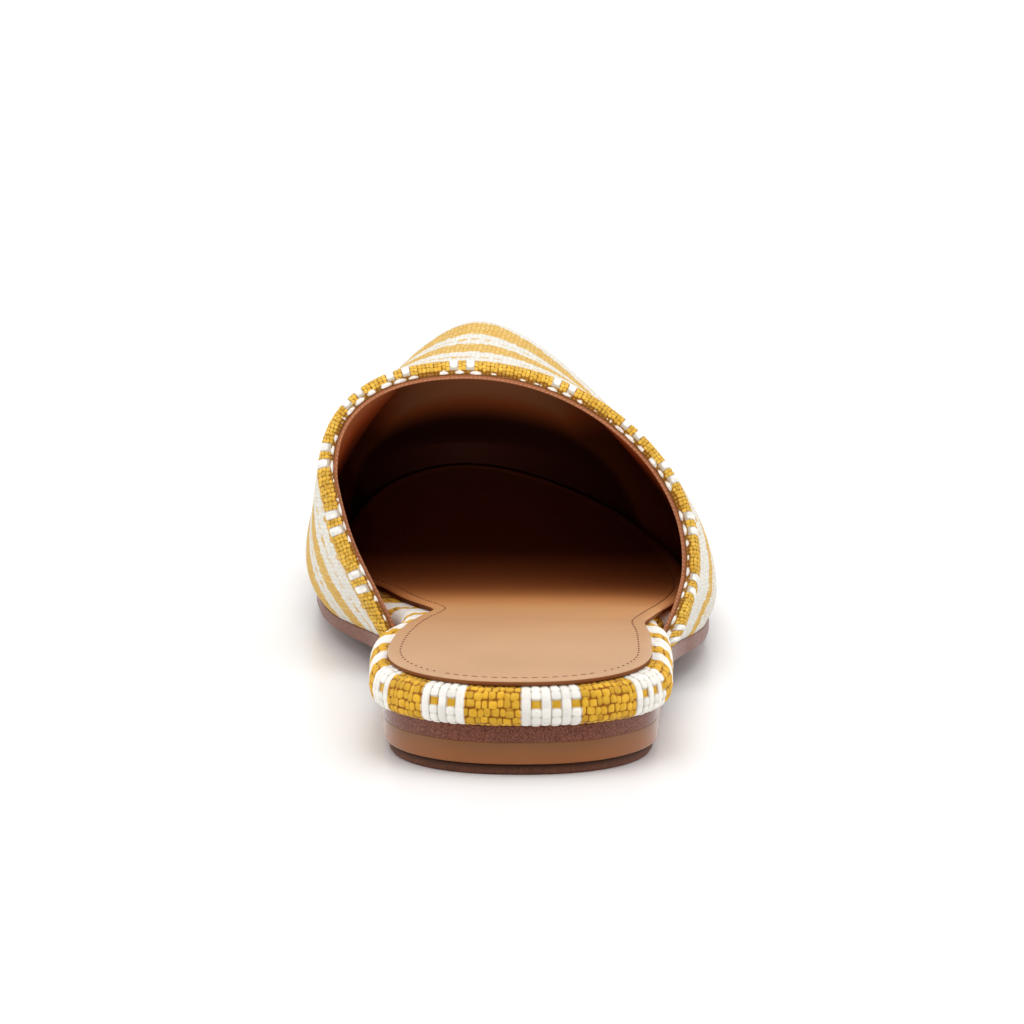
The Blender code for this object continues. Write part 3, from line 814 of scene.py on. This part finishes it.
def layer(name, edge, bottom, top, profile, cells, materials, node, cut=0, sag=None):
    """A layer of the sole: caps follow bottom() and top(), and its edge follows the profile.

    The first cut steps of the profile have the second material. sag() says how far the
    underside hangs below bottom(). The mark shade is the distance from the heel over SHADE_RUN.
    """
    insets, heights = np.array(profile).T
    levels = len(profile) - 1

    def raised(flat, share):
        low, high = bottom(flat[:, 1]), top(flat[:, 1])
        return np.column_stack([flat, low + (high - low) * share])

    def wall(side, first, last_level):
        def at(along, up):
            level = first + np.rint(up * (last_level - first)).astype(int)
            return raised(edge(along, side, insets[level]), heights[level])

        return at

    def span(along, across, inset, share):
        medial, lateral = edge(along, -1, inset), edge(along, 1, inset)
        return raised(medial + (lateral - medial) * across[:, None], share)

    def underside(along, across):
        points = span(along, across, insets[0], heights[0])
        if sag:
            points[:, 2] -= sag(points[:, 1], across)
        return points

    def upside(along, across):
        return span(along, across, insets[-1], heights[-1])

    def breast(across, up):
        level = np.rint(up * levels).astype(int)
        return span(np.ones_like(across), across, insets[level], heights[level])

    def marks(along, up):
        return {"shade": edge(along, 1, 0)[:, 1] / SHADE_RUN}

    def breast_marks(across, up):
        return marks(np.ones_like(across), up)

    bm = bmesh.new()
    for side in (-1, 1):
        if cut:
            patch(bm, (cells[0], cut), wall(side, 0, cut), marks=marks, material=1)
        patch(bm, (cells[0], levels - cut), wall(side, cut, levels), marks=marks)
    patch(bm, cells, underside, marks=marks)
    patch(bm, cells, upside, marks=marks)
    patch(bm, (cells[1], levels), breast, marks=breast_marks)
    return finish(bm, name, materials, node)


def softened(edge, reach):
    """The same outline with its corners rounded: each point becomes a mean of its neighbours."""

    def at(along, side, inset):
        near = reach * np.sin(math.pi * along)
        return sum(edge(np.clip(along + near * k / 4, 0, 1), side, inset) for k in range(-4, 5)) / 9

    return at


def make_sole():
    lift = outline(SOLE_EDGE, 0.0, HEEL_BREAST, 0)
    insole = softened(outline(INSOLE_EDGE, INSOLE_BACK, INSOLE_FRONT), CORNER_REACH)
    layer(
        "heel_tip_rubber", lift, floor_level, lift_bottom, ROUND_TIP, HEEL_CELLS,
        [tread_rubber()], "heel_tip",
    )
    layer(
        "heel_lift_rubber", lift, lift_bottom, lift_top, ROUND_LIFT, HEEL_CELLS,
        [moulded_rubber()], "heel_lift",
    )
    layer(
        "outsole_leather", sole_edge, outsole_bottom, above_outsole, ROUND_OUTSOLE,
        OUTSOLE_CELLS, [speckled_leather()], "outsole", sag=bulge,
    )
    sock = grained_leather(
        "sock_leather", SOCK_TANS_LIT_AND_SHADED, roughness=0.5, gloss=0.2, grain=0.5, depth=0.04
    )
    cut = grained_leather(
        "cut_leather", CUT_TANS_SHADED, roughness=0.8, gloss=0.1, grain=0.3, depth=0.05
    )
    layer(
        "leather_insole", insole, insole_bottom, insole_top, ROUND_INSOLE, INSOLE_CELLS,
        [sock, cut], "insole", cut=CUT_EDGE,
    )
    make_sock_stitches(insole)


def beads_along(bm, points, pitch, size, tilt=0.0, material=0, shift=0.0):
    """Small rounded stitches laid along a line of points: size is length, width and thickness."""
    reach = resample(points)
    for k in range(int(reach[-1] / pitch)):
        spot = (k + shift) * pitch
        centre, ahead, behind = (
            np.array([np.interp(spot + step, reach, column) for column in points.T])
            for step in (0, 0.3, -0.3)
        )
        heading = Vector(ahead - behind).normalized()
        turn = heading.to_track_quat("X", "Z").to_matrix().to_4x4()
        shape = Matrix.Translation(place(centre)) @ turn @ Matrix.Rotation(tilt, 4, "Z")
        shape = shape @ Matrix.Diagonal((*(np.array(size) * MM), 1))
        made = bmesh.ops.create_uvsphere(bm, u_segments=8, v_segments=5, radius=0.5, matrix=shape)
        for face in {face for vert in made["verts"] for face in vert.link_faces}:
            face.material_index = material
            face.smooth = True


def make_sock_stitches(insole):
    """A lockstitch round the insole: short threads between dark beads, painted shade in the needle
    holes; the back threads are painted darker, as shade.
    """
    thread = plain("waxed_thread", "d09a70", 0.6)
    shaded_thread = plain("waxed_thread_painted_shade", "8a4a30", 0.55)
    hole_shade = plain("needle_hole_painted_shade", "54291a", 0.9)
    path = softened(insole, STITCH_REACH)
    bm = bmesh.new()
    for side in (-1, 1):
        flat = path(np.linspace(0, STITCH_END, 3000), side, STITCH_INSET)
        line = np.column_stack([flat, insole_bottom(flat[:, 1]) + INSOLE * STITCH_LEVEL])
        back = line[line[:, 1] < BACK_STITCHES]
        rest = line[(line[:, 1] >= BACK_STITCHES) & (line[:, 1] < LAST_STITCH)]
        # The back threads are painted darker: painted shade of their sunk sides.
        beads_along(bm, back, STITCH, SHADED_THREAD, material=1, shift=0.5)
        beads_along(bm, rest, STITCH, THREAD, material=0, shift=0.5)
        # Dark beads at the needle holes: painted shade in the holes.
        beads_along(bm, rest, STITCH, HOLE, material=2, shift=1.0)
    return finish(bm, "insole_stitches", [thread, shaded_thread, hole_shade], "insole")


# ---------------------------------------------------------------- wrapped footbed

# Stripes of its cloth from the middle of the heel to each side: where they start, in mm, and
# their kinds. Bricks are yellow floats. The rest are white threads: plain, or with yellow
# cells under every other thread (checks) or under one (single).
MEDIAL_STRIPES = (
    (0.0, 12.2, 22.3, 33.0, 42.0, 50.0, 57.5, 65.0, 75.0)
    + (84.0, 93.5, 101.5, 112.0, 117.5, 127.0, 131.0, 141.0, 152.0),
    ("bricks", "checks", "bricks", "single") + 7 * ("bricks", "plain"),
)
LATERAL_STRIPES = (
    (0.0, 13.0, 27.0, 39.0, 48.3, 55.3, 62.0, 71.0)
    + (77.5, 88.0, 95.0, 106.5, 114.0, 125.0, 131.0),
    ("checks", "bricks", "checks") + 6 * ("bricks", "plain"),
)
COLUMN = 2.1  # mm, width of one white thread at the heel
BRICK = 1.6  # mm, width of one yellow float
ROW = 2.17
FIRST_ROW = 2.2  # mm of cloth from the edge of the insole to the first whole row
THREAD_RISE, THREAD_SINK = 0.46, 0.30  # mm from a gap to a crown, and from the cloth to a gap
ROUND_END_RISE, CELL_DIP = 0.10, 0.38  # mm, of threads beside a yellow cell, and of the cell

WRAP_CELLS = (620, 64)
WRAP_SEEN = 150.0  # mm from the middle of the heel to where the upper hides the cloth
SEEN_SHARE = 0.86  # of the cells along the edge, for the part that shows
WRAP_OVER = 9.5  # mm of cloth on the flat top of the footbed, most of it under the insole
WRAP_TUCKED = 8.6  # mm of that under the insole, at the heel
WRAP_DEPTH = 9.0  # mm, usual height of the wrapped edge, for the cloth's length over it
WRAP_FRONT = 0.98  # shares along the edge beyond this are hidden in the toe and left smooth
WRAP_STEPS = (2e-4, 0.05)  # share along and mm round to either side, for the normal there


def weave(distance, down, stripes):
    """The thread that crosses each point: yellow, crown, tone, and height in mm."""
    starts, kinds = (np.array(part) for part in stripes)
    block = np.clip(np.searchsorted(starts, distance, side="right") - 1, 0, len(starts) - 2)
    width = starts[block + 1] - starts[block]
    columns = np.maximum(np.rint(width / COLUMN), 2)
    kind = kinds[block]
    column = (distance - starts[block]) / width * columns
    number = np.floor(column)
    row = (down - FIRST_ROW) / ROW
    level = np.floor(row)

    # Bricks: rounded floats of uneven length, each row shifted from the one above.
    shifted = distance / BRICK + 3.7 * jitter(level, 1.0)
    shifted = shifted + 0.15 * np.sin(2.3 * shifted + 6 * jitter(level, 2.0))
    brick = np.floor(shifted)
    sag = 0.10 * np.sin(5 * brick + level) + 0.05 * np.sin(distance * 1.9)
    brick_crown = pillow(fraction(shifted), 2.3) * pillow(fraction(row + sag), 2.6)
    brick_tone = jitter(brick + 57 * np.floor(row + sag), 3.0)

    # White threads: where there are cells, every other one dips in the second row.
    ends = (number % 2 == 1) & ((kind == "checks") | ((kind == "single") & (number == 1)))
    cell = ends & (level == 1)
    across = pillow(fraction(column), 2.8)
    cross = pillow(fraction(row), 4.0)
    white_crown = across * np.where(ends, cross, 0.55 + 0.45 * cross)
    white_crown = np.where(kind == "plain", across * (0.80 + 0.20 * cross), white_crown)
    white_tone = 0.5 + 0.5 * (jitter(number + 31 * level + 7 * block, 4.0) - 0.5)

    bricks = kind == "bricks"
    crown = np.where(bricks, brick_crown, white_crown)
    crown = np.where(cell, np.minimum(across, cross) * 0.9, crown)
    # A yellow cell, sunk under its threads, gets a darker tone: painted shade in the dip.
    tone = np.where(cell, 0.25, np.where(bricks, brick_tone, white_tone))
    height = THREAD_RISE * np.sqrt(np.clip(crown, 0, 1)) - THREAD_SINK
    height = height + np.where(cell, -CELL_DIP, np.where(ends, ROUND_END_RISE, 0.0))
    return (bricks | cell).astype(float), crown, tone, height


def make_wrapped_footbed():
    # The two gap colours are painted shade between the threads.
    cloth = charted_cotton(
        "footbed_cotton", ("cb9119", "e6ba40"), "8a4f0e", "eeeae2", "b3a898"
    )
    edge = outline(FOOTBED_EDGE, -FOOTBED_OVERHANG, FOOTBED_FRONT)
    shares = np.linspace(0, 1, 4001)
    # Section of the wrapped edge from under the insole, over the top and down to the outsole.
    section = [(inset, (share - 1) * WRAP_DEPTH) for inset, share in reversed(FOOTBED_PROFILE)]
    section = np.array([(section[0][0] + WRAP_OVER, 0.0), *section])
    knots = resample(section)
    fine = np.linspace(0, knots[-1], 400)
    insets, drops = (curve(np.column_stack([knots, section[:, i]]), 1)(fine) for i in (0, 1))
    path = resample(np.column_stack([insets, drops]))

    def surface(share_of_edge, side, girth):
        drop = np.interp(girth, path, drops) / WRAP_DEPTH
        flat = edge(share_of_edge, side, np.interp(girth, path, insets))
        low, high = above_outsole(flat[:, 1]), under_insole(flat[:, 1])
        return np.column_stack([flat, high + (high - low) * drop])

    def wall(side, stripes):
        reach = resample(edge(shares, side, 0.0))

        def spread(along):
            """Distance along the edge: close steps where the cloth shows, wide ones beyond."""
            seen = np.minimum(along / SEEN_SHARE, 1) * WRAP_SEEN
            hidden = np.maximum(along - SEEN_SHARE, 0) / (1 - SEEN_SHARE)
            return seen + hidden * (reach[-1] - WRAP_SEEN)

        def at(along, around):
            distance, girth = spread(along), around * path[-1]
            share = np.interp(distance, reach, shares)
            ahead = surface(np.clip(share + WRAP_STEPS[0], 0, 1), side, girth)
            behind = surface(np.clip(share - WRAP_STEPS[0], 0, 1), side, girth)
            up = surface(share, side, np.maximum(girth - WRAP_STEPS[1], 0))
            down = surface(share, side, np.minimum(girth + WRAP_STEPS[1], path[-1]))
            normal = unit(np.cross(ahead - behind, up - down) * side)
            normal[along > WRAP_FRONT] = (0, 1, 0)
            height = weave(distance, girth - WRAP_TUCKED, stripes)[3]
            # Flat where the two sides meet, in the toe, and at the cloth's two borders.
            flat = (np.abs(distance) < CLOSE) | (along > WRAP_FRONT)
            flat = flat | (around < 0.01) | (around > 0.99)
            return surface(share, side, girth) + normal * np.where(flat, 0.0, height)[:, None]

        def marks(along, around):
            threads = weave(spread(along), around * path[-1] - WRAP_TUCKED, stripes)
            return dict(zip(MARKS, threads[:3]))

        return at, marks

    walls = [wall(-1, MEDIAL_STRIPES), wall(1, LATERAL_STRIPES)]

    def cap(around):
        def at(along, across):
            medial, lateral = (wall_at(along, 0 * along + around) for wall_at, _ in walls)
            return medial + (lateral - medial) * across[:, None]

        return at

    bm = bmesh.new()
    for at, marks in walls:
        patch(bm, WRAP_CELLS, at, marks=marks)
    for around in (0, 1):
        patch(bm, (WRAP_CELLS[0], 4), cap(around))
    return finish(bm, "wrapped_footbed", [cloth], "footbed")


# ---------------------------------------------------------------- upper

CLOTH = 0.6  # mm, thickness of the woven cloth
CLOTH_TUCK = 0.8  # mm of it under the binding
NET_ROUND, NET_FORWARD = 224.0, 200.0  # mm of cloth, more than the last needs either way
NET_LINES, NET_STEPS = 161, 301  # round the last and along it, where the cloth is measured
NET_CELLS = (224, 200)  # a millimetre each


def fabric_net(round_, forward):
    """Finds points of the last round_ mm from the ridge and forward mm from the binding.

    Gives their y and their share across. Points past the foot or the toe stay at the edge.
    """
    across = np.linspace(-1, 1, NET_LINES)
    turn = np.linspace(0, 1, NET_STEPS)
    back = upper_back_y(across) - CLOTH_TUCK
    y = back[:, None] + (LENGTH - back)[:, None] * np.sin(turn * math.pi / 2)[None, :]
    reach = [resample(line) for line in last(y, across[:, None])]
    levels, level_of = np.unique(np.round(forward, 6), return_inverse=True)
    line_y = np.array([np.interp(levels, reach[k], y[k]) for k in range(NET_LINES)])
    net = last(line_y, across[:, None])
    found_y, found_across = np.empty(len(round_)), np.empty(len(round_))
    for level in range(len(levels)):
        mine = level_of == level
        girth = resample(net[:, level])
        girth = girth - girth[NET_LINES // 2]
        found_across[mine] = np.interp(round_[mine], girth, across)
        found_y[mine] = np.interp(found_across[mine], across, line_y[:, level])
    return found_y, found_across


def make_cloth():
    def chart(share, along):
        return np.column_stack([(share - 0.5) * NET_ROUND, along * NET_FORWARD])

    def at(share, along):
        return last(*fabric_net(*chart(share, along).T))

    bm = bmesh.new()
    patch(bm, NET_CELLS, at, chart)
    cloth = finish(bm, "woven_upper", [banded_cotton()], "upper")
    body = cloth.modifiers.new("cloth_body", "SOLIDIFY")
    body.thickness, body.offset = CLOTH * MM, -1
    return cloth


# Colour of the lining by the mark shade: tan leather at the collar, going to painted shade, near
# black, at the sides and in the toe.
LINING_TANS_SHADED = ((0.0, "b4714a"), (0.35, "aa5429"), (1.0, "34140a"))
LINING_START = 0.7  # mm in front of the collar line
# Depth of the lining's two faces under the outside of the upper, by the mm from its edge.
LINING_DEPTHS = ((0, 2.5, 3.3), (3, 2.5, 3.3), (9, 1.2, WALL))
LINING_CELLS = (120, 120)
TOE_PAINTED_SHADE = (102.0, 26.0)  # mm from the collar where the toe's painted shade starts, and over how many mm it grows dark
SIDE_PAINTED_SHADE = (3.0, 40.0)  # the same for the sides
SIDE_START = (0.22, 0.25)  # share of a half section where a side begins, and over how much
# How dark the sides' painted shade gets, against the toe's.
SIDE_SHADE = 0.85
OVERCAST = (1.15, 0.42, 0.42)  # mm, length, width and thickness of a stitch over the edge
OVERCAST_TILT = 0.35
OVERCAST_PITCH = 1.0  # mm
OVERCAST_LEVEL = 0.62  # share of the edge's thickness, from the cloth's side
OVERCAST_OUT = 0.12  # mm behind the edge


def make_lining():
    leather = grained_leather(
        "lining_leather", LINING_TANS_SHADED, roughness=0.7, gloss=0.05, grain=0.7, depth=0.04
    )
    from_edge, near_depths, far_depths = np.array(LINING_DEPTHS).T

    def face(depths):
        def at(share, along):
            across = 2 * share - 1
            back = collar_y(across) + LINING_START
            y = back + (LENGTH - back) * np.sin(along * math.pi / 2)
            points = last(y, across)
            normal = outward(y, across)
            normal[along > EDGE_SHARE] = (0, 1, 0)
            inside = points - normal * np.interp(y - back, from_edge, depths)[:, None]
            foot = np.abs(across) > EDGE_SHARE
            inside[foot, 2] = points[foot, 2]
            return inside

        return at

    near, far = face(near_depths), face(far_depths)

    def rim(share, along, through):
        out = near(share, along)
        return out + (far(share, along) - out) * through[:, None]

    def marks(share, along):
        """Painted shade: open leather at the collar and under the ridge, painted dark at the sides
        and in the toe.
        """
        across = np.abs(2 * share - 1)
        inward = (LENGTH - collar_y(2 * share - 1)) * np.sin(along * math.pi / 2)
        toe = ease((inward - TOE_PAINTED_SHADE[0]) / TOE_PAINTED_SHADE[1])
        side = ease((inward - SIDE_PAINTED_SHADE[0]) / SIDE_PAINTED_SHADE[1])
        side = side * ease((across - SIDE_START[0]) / SIDE_START[1])
        return {"shade": np.maximum(toe, SIDE_SHADE * side)}

    bm = bmesh.new()
    patch(bm, LINING_CELLS, near, marks=marks)
    patch(bm, LINING_CELLS, far, marks=marks)
    patch(bm, (LINING_CELLS[1], 1), lambda along, through: rim(0 * along, along, through))
    patch(bm, (LINING_CELLS[1], 1), lambda along, through: rim(0 * along + 1, along, through))
    patch(bm, (LINING_CELLS[0], 1), lambda share, through: rim(share, 0 * share, through))
    finish(bm, "leather_lining", [leather], "upper")

    # The turned edge of the lining, overcast with a fine pale thread.
    shares = np.linspace(0.012, 0.988, 1500)
    line = rim(shares, 0 * shares, 0 * shares + OVERCAST_LEVEL) - (0, OVERCAST_OUT, 0)
    bm = bmesh.new()
    beads_along(bm, line, OVERCAST_PITCH, OVERCAST, tilt=OVERCAST_TILT, shift=0.5)
    thread = plain("overcast_thread", "b07a58", 0.7)
    return finish(bm, "lining_stitches", [thread], "upper")


# ---------------------------------------------------------------- binding

RIB = 1.8  # mm, width of one rib of the binding
BEAD = 1.1  # mm round the strip from one bead of a rib to the next
TAPE_GIRTH = 11.6  # mm round the strip, from its front edge over its outer side
TAPE_RIBBED = 5.9  # mm of that in ribs
TAPE_THICK = 3.0  # mm, without the height of its threads
TAPE_SQUARE = 0.75  # power of its section: 1 is an oval, smaller is squarer
TAPE_CELLS = (960, 60)
# Middles of its white, yellow, white groups, in mm along the topline from the medial foot.
WHITE_PAIRS = (13.7, 27.6, 42.7, 57.0, 68.3, 82.5, 105.5, 123.2, 135.5, 147.9, 162.5, 176.6)
RIB_RISE, WHITE_RISE, RIB_SINK = 0.34, 0.38, 0.27  # mm, as THREAD_RISE and THREAD_SINK
SEAM_LEVEL = -0.15  # mm, of the line where the strip closes, under its front edge
# Small white ovals next to the lining: mm from one to the next, and their length and width.
OVAL_STEP, OVAL_LONG, OVAL_WIDE = 3.5, 1.45, 0.78
OVAL_LEVEL = TAPE_RIBBED + 0.8  # mm round the strip to their middles
PAIR_REACH = 5.0  # mm from the middle of a white group within which they are full size


def rib_edges(total):
    """Where each rib starts, and whether it is white."""
    starts, white = [0.0], []

    def even_ribs(end):
        run = end - starts[-1]
        count = max(int(round(run / RIB)), 1)
        starts.extend([starts[-1] + run / count * (k + 1) for k in range(count)])
        white.extend([0] * count)

    for middle in WHITE_PAIRS:
        even_ribs(middle - 1.5 * RIB)
        starts.extend([starts[-1] + RIB * (k + 1) for k in range(3)])
        white.extend([1, 0, 1])
    even_ribs(total)
    return np.array(starts), np.array(white)


def make_binding():
    # The two gap colours are painted shade between the threads.
    tape = charted_cotton(
        "binding_cotton", ("c88f17", "f0c95c"), "7d4c0e", "f0ede7", "b9ae9c"
    )
    shares = np.linspace(0, 1, 2001)
    reach = resample(collar_frame(2 * shares - 1)[0])
    starts, white = rib_edges(reach[-1])

    def ovals(distance, girth):
        """Rounded height of the white ovals, faint away from the white groups."""
        near_pair = np.min(np.abs(distance[:, None] - np.array(WHITE_PAIRS)[None, :]), axis=1)
        which = np.floor(distance / OVAL_STEP)
        full, faint = 0.75 + 0.4 * jitter(which, 7.0), 0.55 * jitter(which, 8.0)
        size = np.maximum(np.where(near_pair < PAIR_REACH, full, faint), 0.05)
        middle = 0.5 + 0.22 * (jitter(which, 11.0) - 0.5)
        level = OVAL_LEVEL + 0.4 * (jitter(which, 12.0) - 0.5)
        along = (fraction(distance / OVAL_STEP) - middle) * OVAL_STEP / (OVAL_LONG * size)
        return np.clip(1 - along**2 - ((girth - level) / (OVAL_WIDE * size)) ** 2, 0, 1)

    def ribs(distance, around):
        """Yellow, crown, tone and height of the folded strip's threads."""
        rib = np.clip(np.searchsorted(starts, distance, side="right") - 1, 0, len(white) - 1)
        share = (distance - starts[rib]) / (starts[rib + 1] - starts[rib])
        pale = white[rib] == 1
        girth = around * TAPE_GIRTH
        outer = girth < TAPE_RIBBED
        bend = 0.07 * np.sin(3.1 * girth + 5 * jitter(rib, 6.0))
        strand = np.clip(2 * share + bend, 0, 1.999)
        bead = girth / BEAD + jitter(2 * rib + np.floor(strand), 9.0)
        bead_crown = pillow(fraction(strand), 2.0) * pillow(fraction(bead), 2.0)
        yellow_crown = 0.12 * pillow(share, 4.0) + 0.88 * bead_crown
        along_rib = np.clip((girth - 1.0) / (TAPE_RIBBED - 1.2), 0, 1)
        white_crown = pillow(share, 2.6) * pillow(along_rib, 2.4)
        oval = ovals(distance, girth)
        weft = 0.25 * pillow(fraction(2 * share), 3) * pillow(fraction(bead), 3)
        crown = np.where(pale, white_crown, yellow_crown)
        crown = np.where(outer, crown, np.maximum(weft, oval))
        dyed = np.where(outer, ~pale, oval < 0.10)
        tone = jitter(rib + 13 * np.floor(bead) + 5 * np.floor(strand), 5.0)
        rise = np.where(outer & pale, WHITE_RISE, RIB_RISE)
        height = rise * np.sqrt(0.25 + 0.75 * np.clip(crown, 0, 1)) - RIB_SINK
        return dyed.astype(float), crown, tone, height

    def tube(along, around, swell=0.0):
        point, normal, forwards = collar_frame(2 * along - 1)
        ahead, aside = np.cos(around * 2 * math.pi), np.sin(around * 2 * math.pi)
        ahead, aside = (np.sign(way) * np.abs(way) ** TAPE_SQUARE for way in (ahead, aside))
        middle = (BINDING_THICKNESS - TAPE_THICK - WALL) / 2
        half = BINDING_WIDTH / 2
        return (
            point
            + forwards * (half + (half + swell) * ahead)[:, None]
            + normal * (middle + (TAPE_THICK / 2 + swell) * aside)[:, None]
        )

    def at(along, around):
        share = np.interp(along * reach[-1], reach, shares)
        height = ribs(along * reach[-1], around)[3]
        seam = (around < CLOSE) | (around > 1 - CLOSE)
        points = tube(share, around, np.where(seam, SEAM_LEVEL, height))
        # Near its feet the strip is drawn down until it stands on the sole.
        end = np.rint(share)
        foot = tube(end, around)
        step = unit(foot - tube(np.abs(end - END_STEP), around))
        drop = np.zeros(len(share))
        for _ in range(DROP_ROUNDS):
            there = foot + step * drop[:, None]
            drop += (above_outsole(there[:, 1]) - there[:, 2]) / step[:, 2]
        near = ease(1 - np.abs(share - end) / BINDING_END_SHARE)
        return points + step * (drop * near)[:, None]

    def marks(along, around):
        return dict(zip(MARKS, ribs(along * reach[-1], around)[:3]))

    def cap(end):
        def at_cap(around, inwards):
            ring = at(0 * around + end, around)
            return ring + (ring.mean(axis=0) - ring) * np.rint(inwards)[:, None]

        return at_cap

    bm = bmesh.new()
    patch(bm, TAPE_CELLS, at, marks=marks)
    patch(bm, (TAPE_CELLS[1], 1), cap(0))
    patch(bm, (TAPE_CELLS[1], 1), cap(1))
    return finish(bm, "topline_tape", [tape], "topline_binding")


# ---------------------------------------------------------------- stage

FLOOR_HALF = 6.0  # metres
TENT_HEEL, TENT_TOE = 0.20, 0.88  # brightness of the surroundings beyond each end of the shoe
CEILING = 1.38  # what a bright ceiling adds to it, most of it near its middle
CEILING_MIDDLE = (0.0, -0.33, 0.944)
CEILING_POWER = 4.0
LAMPS = (  # name, place in metres, watts, width, height
    ("softbox_overhead", (0.0, -0.49, 1.35), 4.5, 0.9, 0.9),
    ("panel_left", (-1.10, -0.25, 0.45), 3.4, 0.8, 0.8),
    ("panel_right", (1.10, -0.25, 0.45), 3.9, 0.8, 0.8),
)
LAMP_AIM = (0, 0, 0.03)
# In the working frame, mm: where the narrow beam stands and what it is aimed at.
BEAM_SPOT, BEAM_AIM = (-10, -1600, 205), (-8, 205, 44)
BEAM_WATTS, BEAM_ANGLE, BEAM_EDGE, BEAM_RADIUS = 56.0, math.radians(2.9), 0.7, 0.03
CAMERA_SPOT = (-1.90, -2923.35, 675.95)
CAMERA_TURN = (math.radians(78), 0, 0)


def set_up(name, data, spot, turn):
    """Puts a lamp or the camera in its place."""
    thing = bpy.data.objects.new(name, data)
    thing.location, thing.rotation_euler = spot, turn
    bpy.context.collection.objects.link(thing)
    return thing


def aimed(spot, aim):
    return (Vector(aim) - Vector(spot)).to_track_quat("-Z", "Y").to_euler()


def light_surroundings():
    """A white tent, dim beyond the heel and bright beyond the toe, with a brighter ceiling."""
    world = bpy.data.worlds.new("studio")
    bpy.context.scene.world = world
    world.use_nodes = True
    tree = world.node_tree
    sky = add(tree, "TexCoord").outputs["Generated"]
    rise = add(tree, "VectorMath", {0: sky, 1: CEILING_MIDDLE}, operation="DOT_PRODUCT")
    rise = add(tree, "Math", {0: rise, 1: 0.0}, operation="MAXIMUM")
    rise = add(tree, "Math", {0: rise, 1: CEILING_POWER}, operation="POWER")
    away = add(tree, "SeparateXYZ", {0: sky}).outputs["Y"]
    tent = add(tree, "MapRange", {0: away, 1: -0.5, 2: 0.5, 3: TENT_HEEL, 4: TENT_TOE})
    glow = add(tree, "Math", {0: rise, 1: CEILING, 2: tent}, operation="MULTIPLY_ADD")
    feed(tree, tree.nodes["Background"], {"Color": (1, 1, 1, 1), "Strength": glow})


def make_stage():
    bpy.context.scene.view_settings.view_transform = "Standard"
    bm = bmesh.new()
    bmesh.ops.create_grid(bm, x_segments=1, y_segments=1, size=FLOOR_HALF)
    floor = bare_object(bm, "floor", [plain("floor_acrylic", "fafafa", 0.3)])
    light_surroundings()
    for name, spot, power, width, height in LAMPS:
        data = bpy.data.lights.new(name, "AREA")
        data.energy = power
        data.shape = "RECTANGLE"
        data.size, data.size_y = width, height
        set_up(name, data, spot, aimed(spot, LAMP_AIM))

    # A narrow beam through the opening, for the lining above the toes.
    beam = bpy.data.lights.new("snoot", "SPOT")
    beam.energy, beam.spot_size = BEAM_WATTS, BEAM_ANGLE
    beam.spot_blend, beam.shadow_soft_size = BEAM_EDGE, BEAM_RADIUS
    start, end = (place(np.array(spot)).tolist() for spot in (BEAM_SPOT, BEAM_AIM))
    set_up("snoot", beam, start, aimed(start, end))

    lens = bpy.data.cameras.new("camera")
    lens.lens, lens.sensor_width = 500, 36
    lens.clip_start, lens.clip_end = 0.1, 50
    spot = place(np.array(CAMERA_SPOT)).tolist()
    bpy.context.scene.camera = set_up("camera", lens, spot, CAMERA_TURN)


make_sole()
make_wrapped_footbed()
make_cloth()
make_lining()
make_binding()
make_stage()
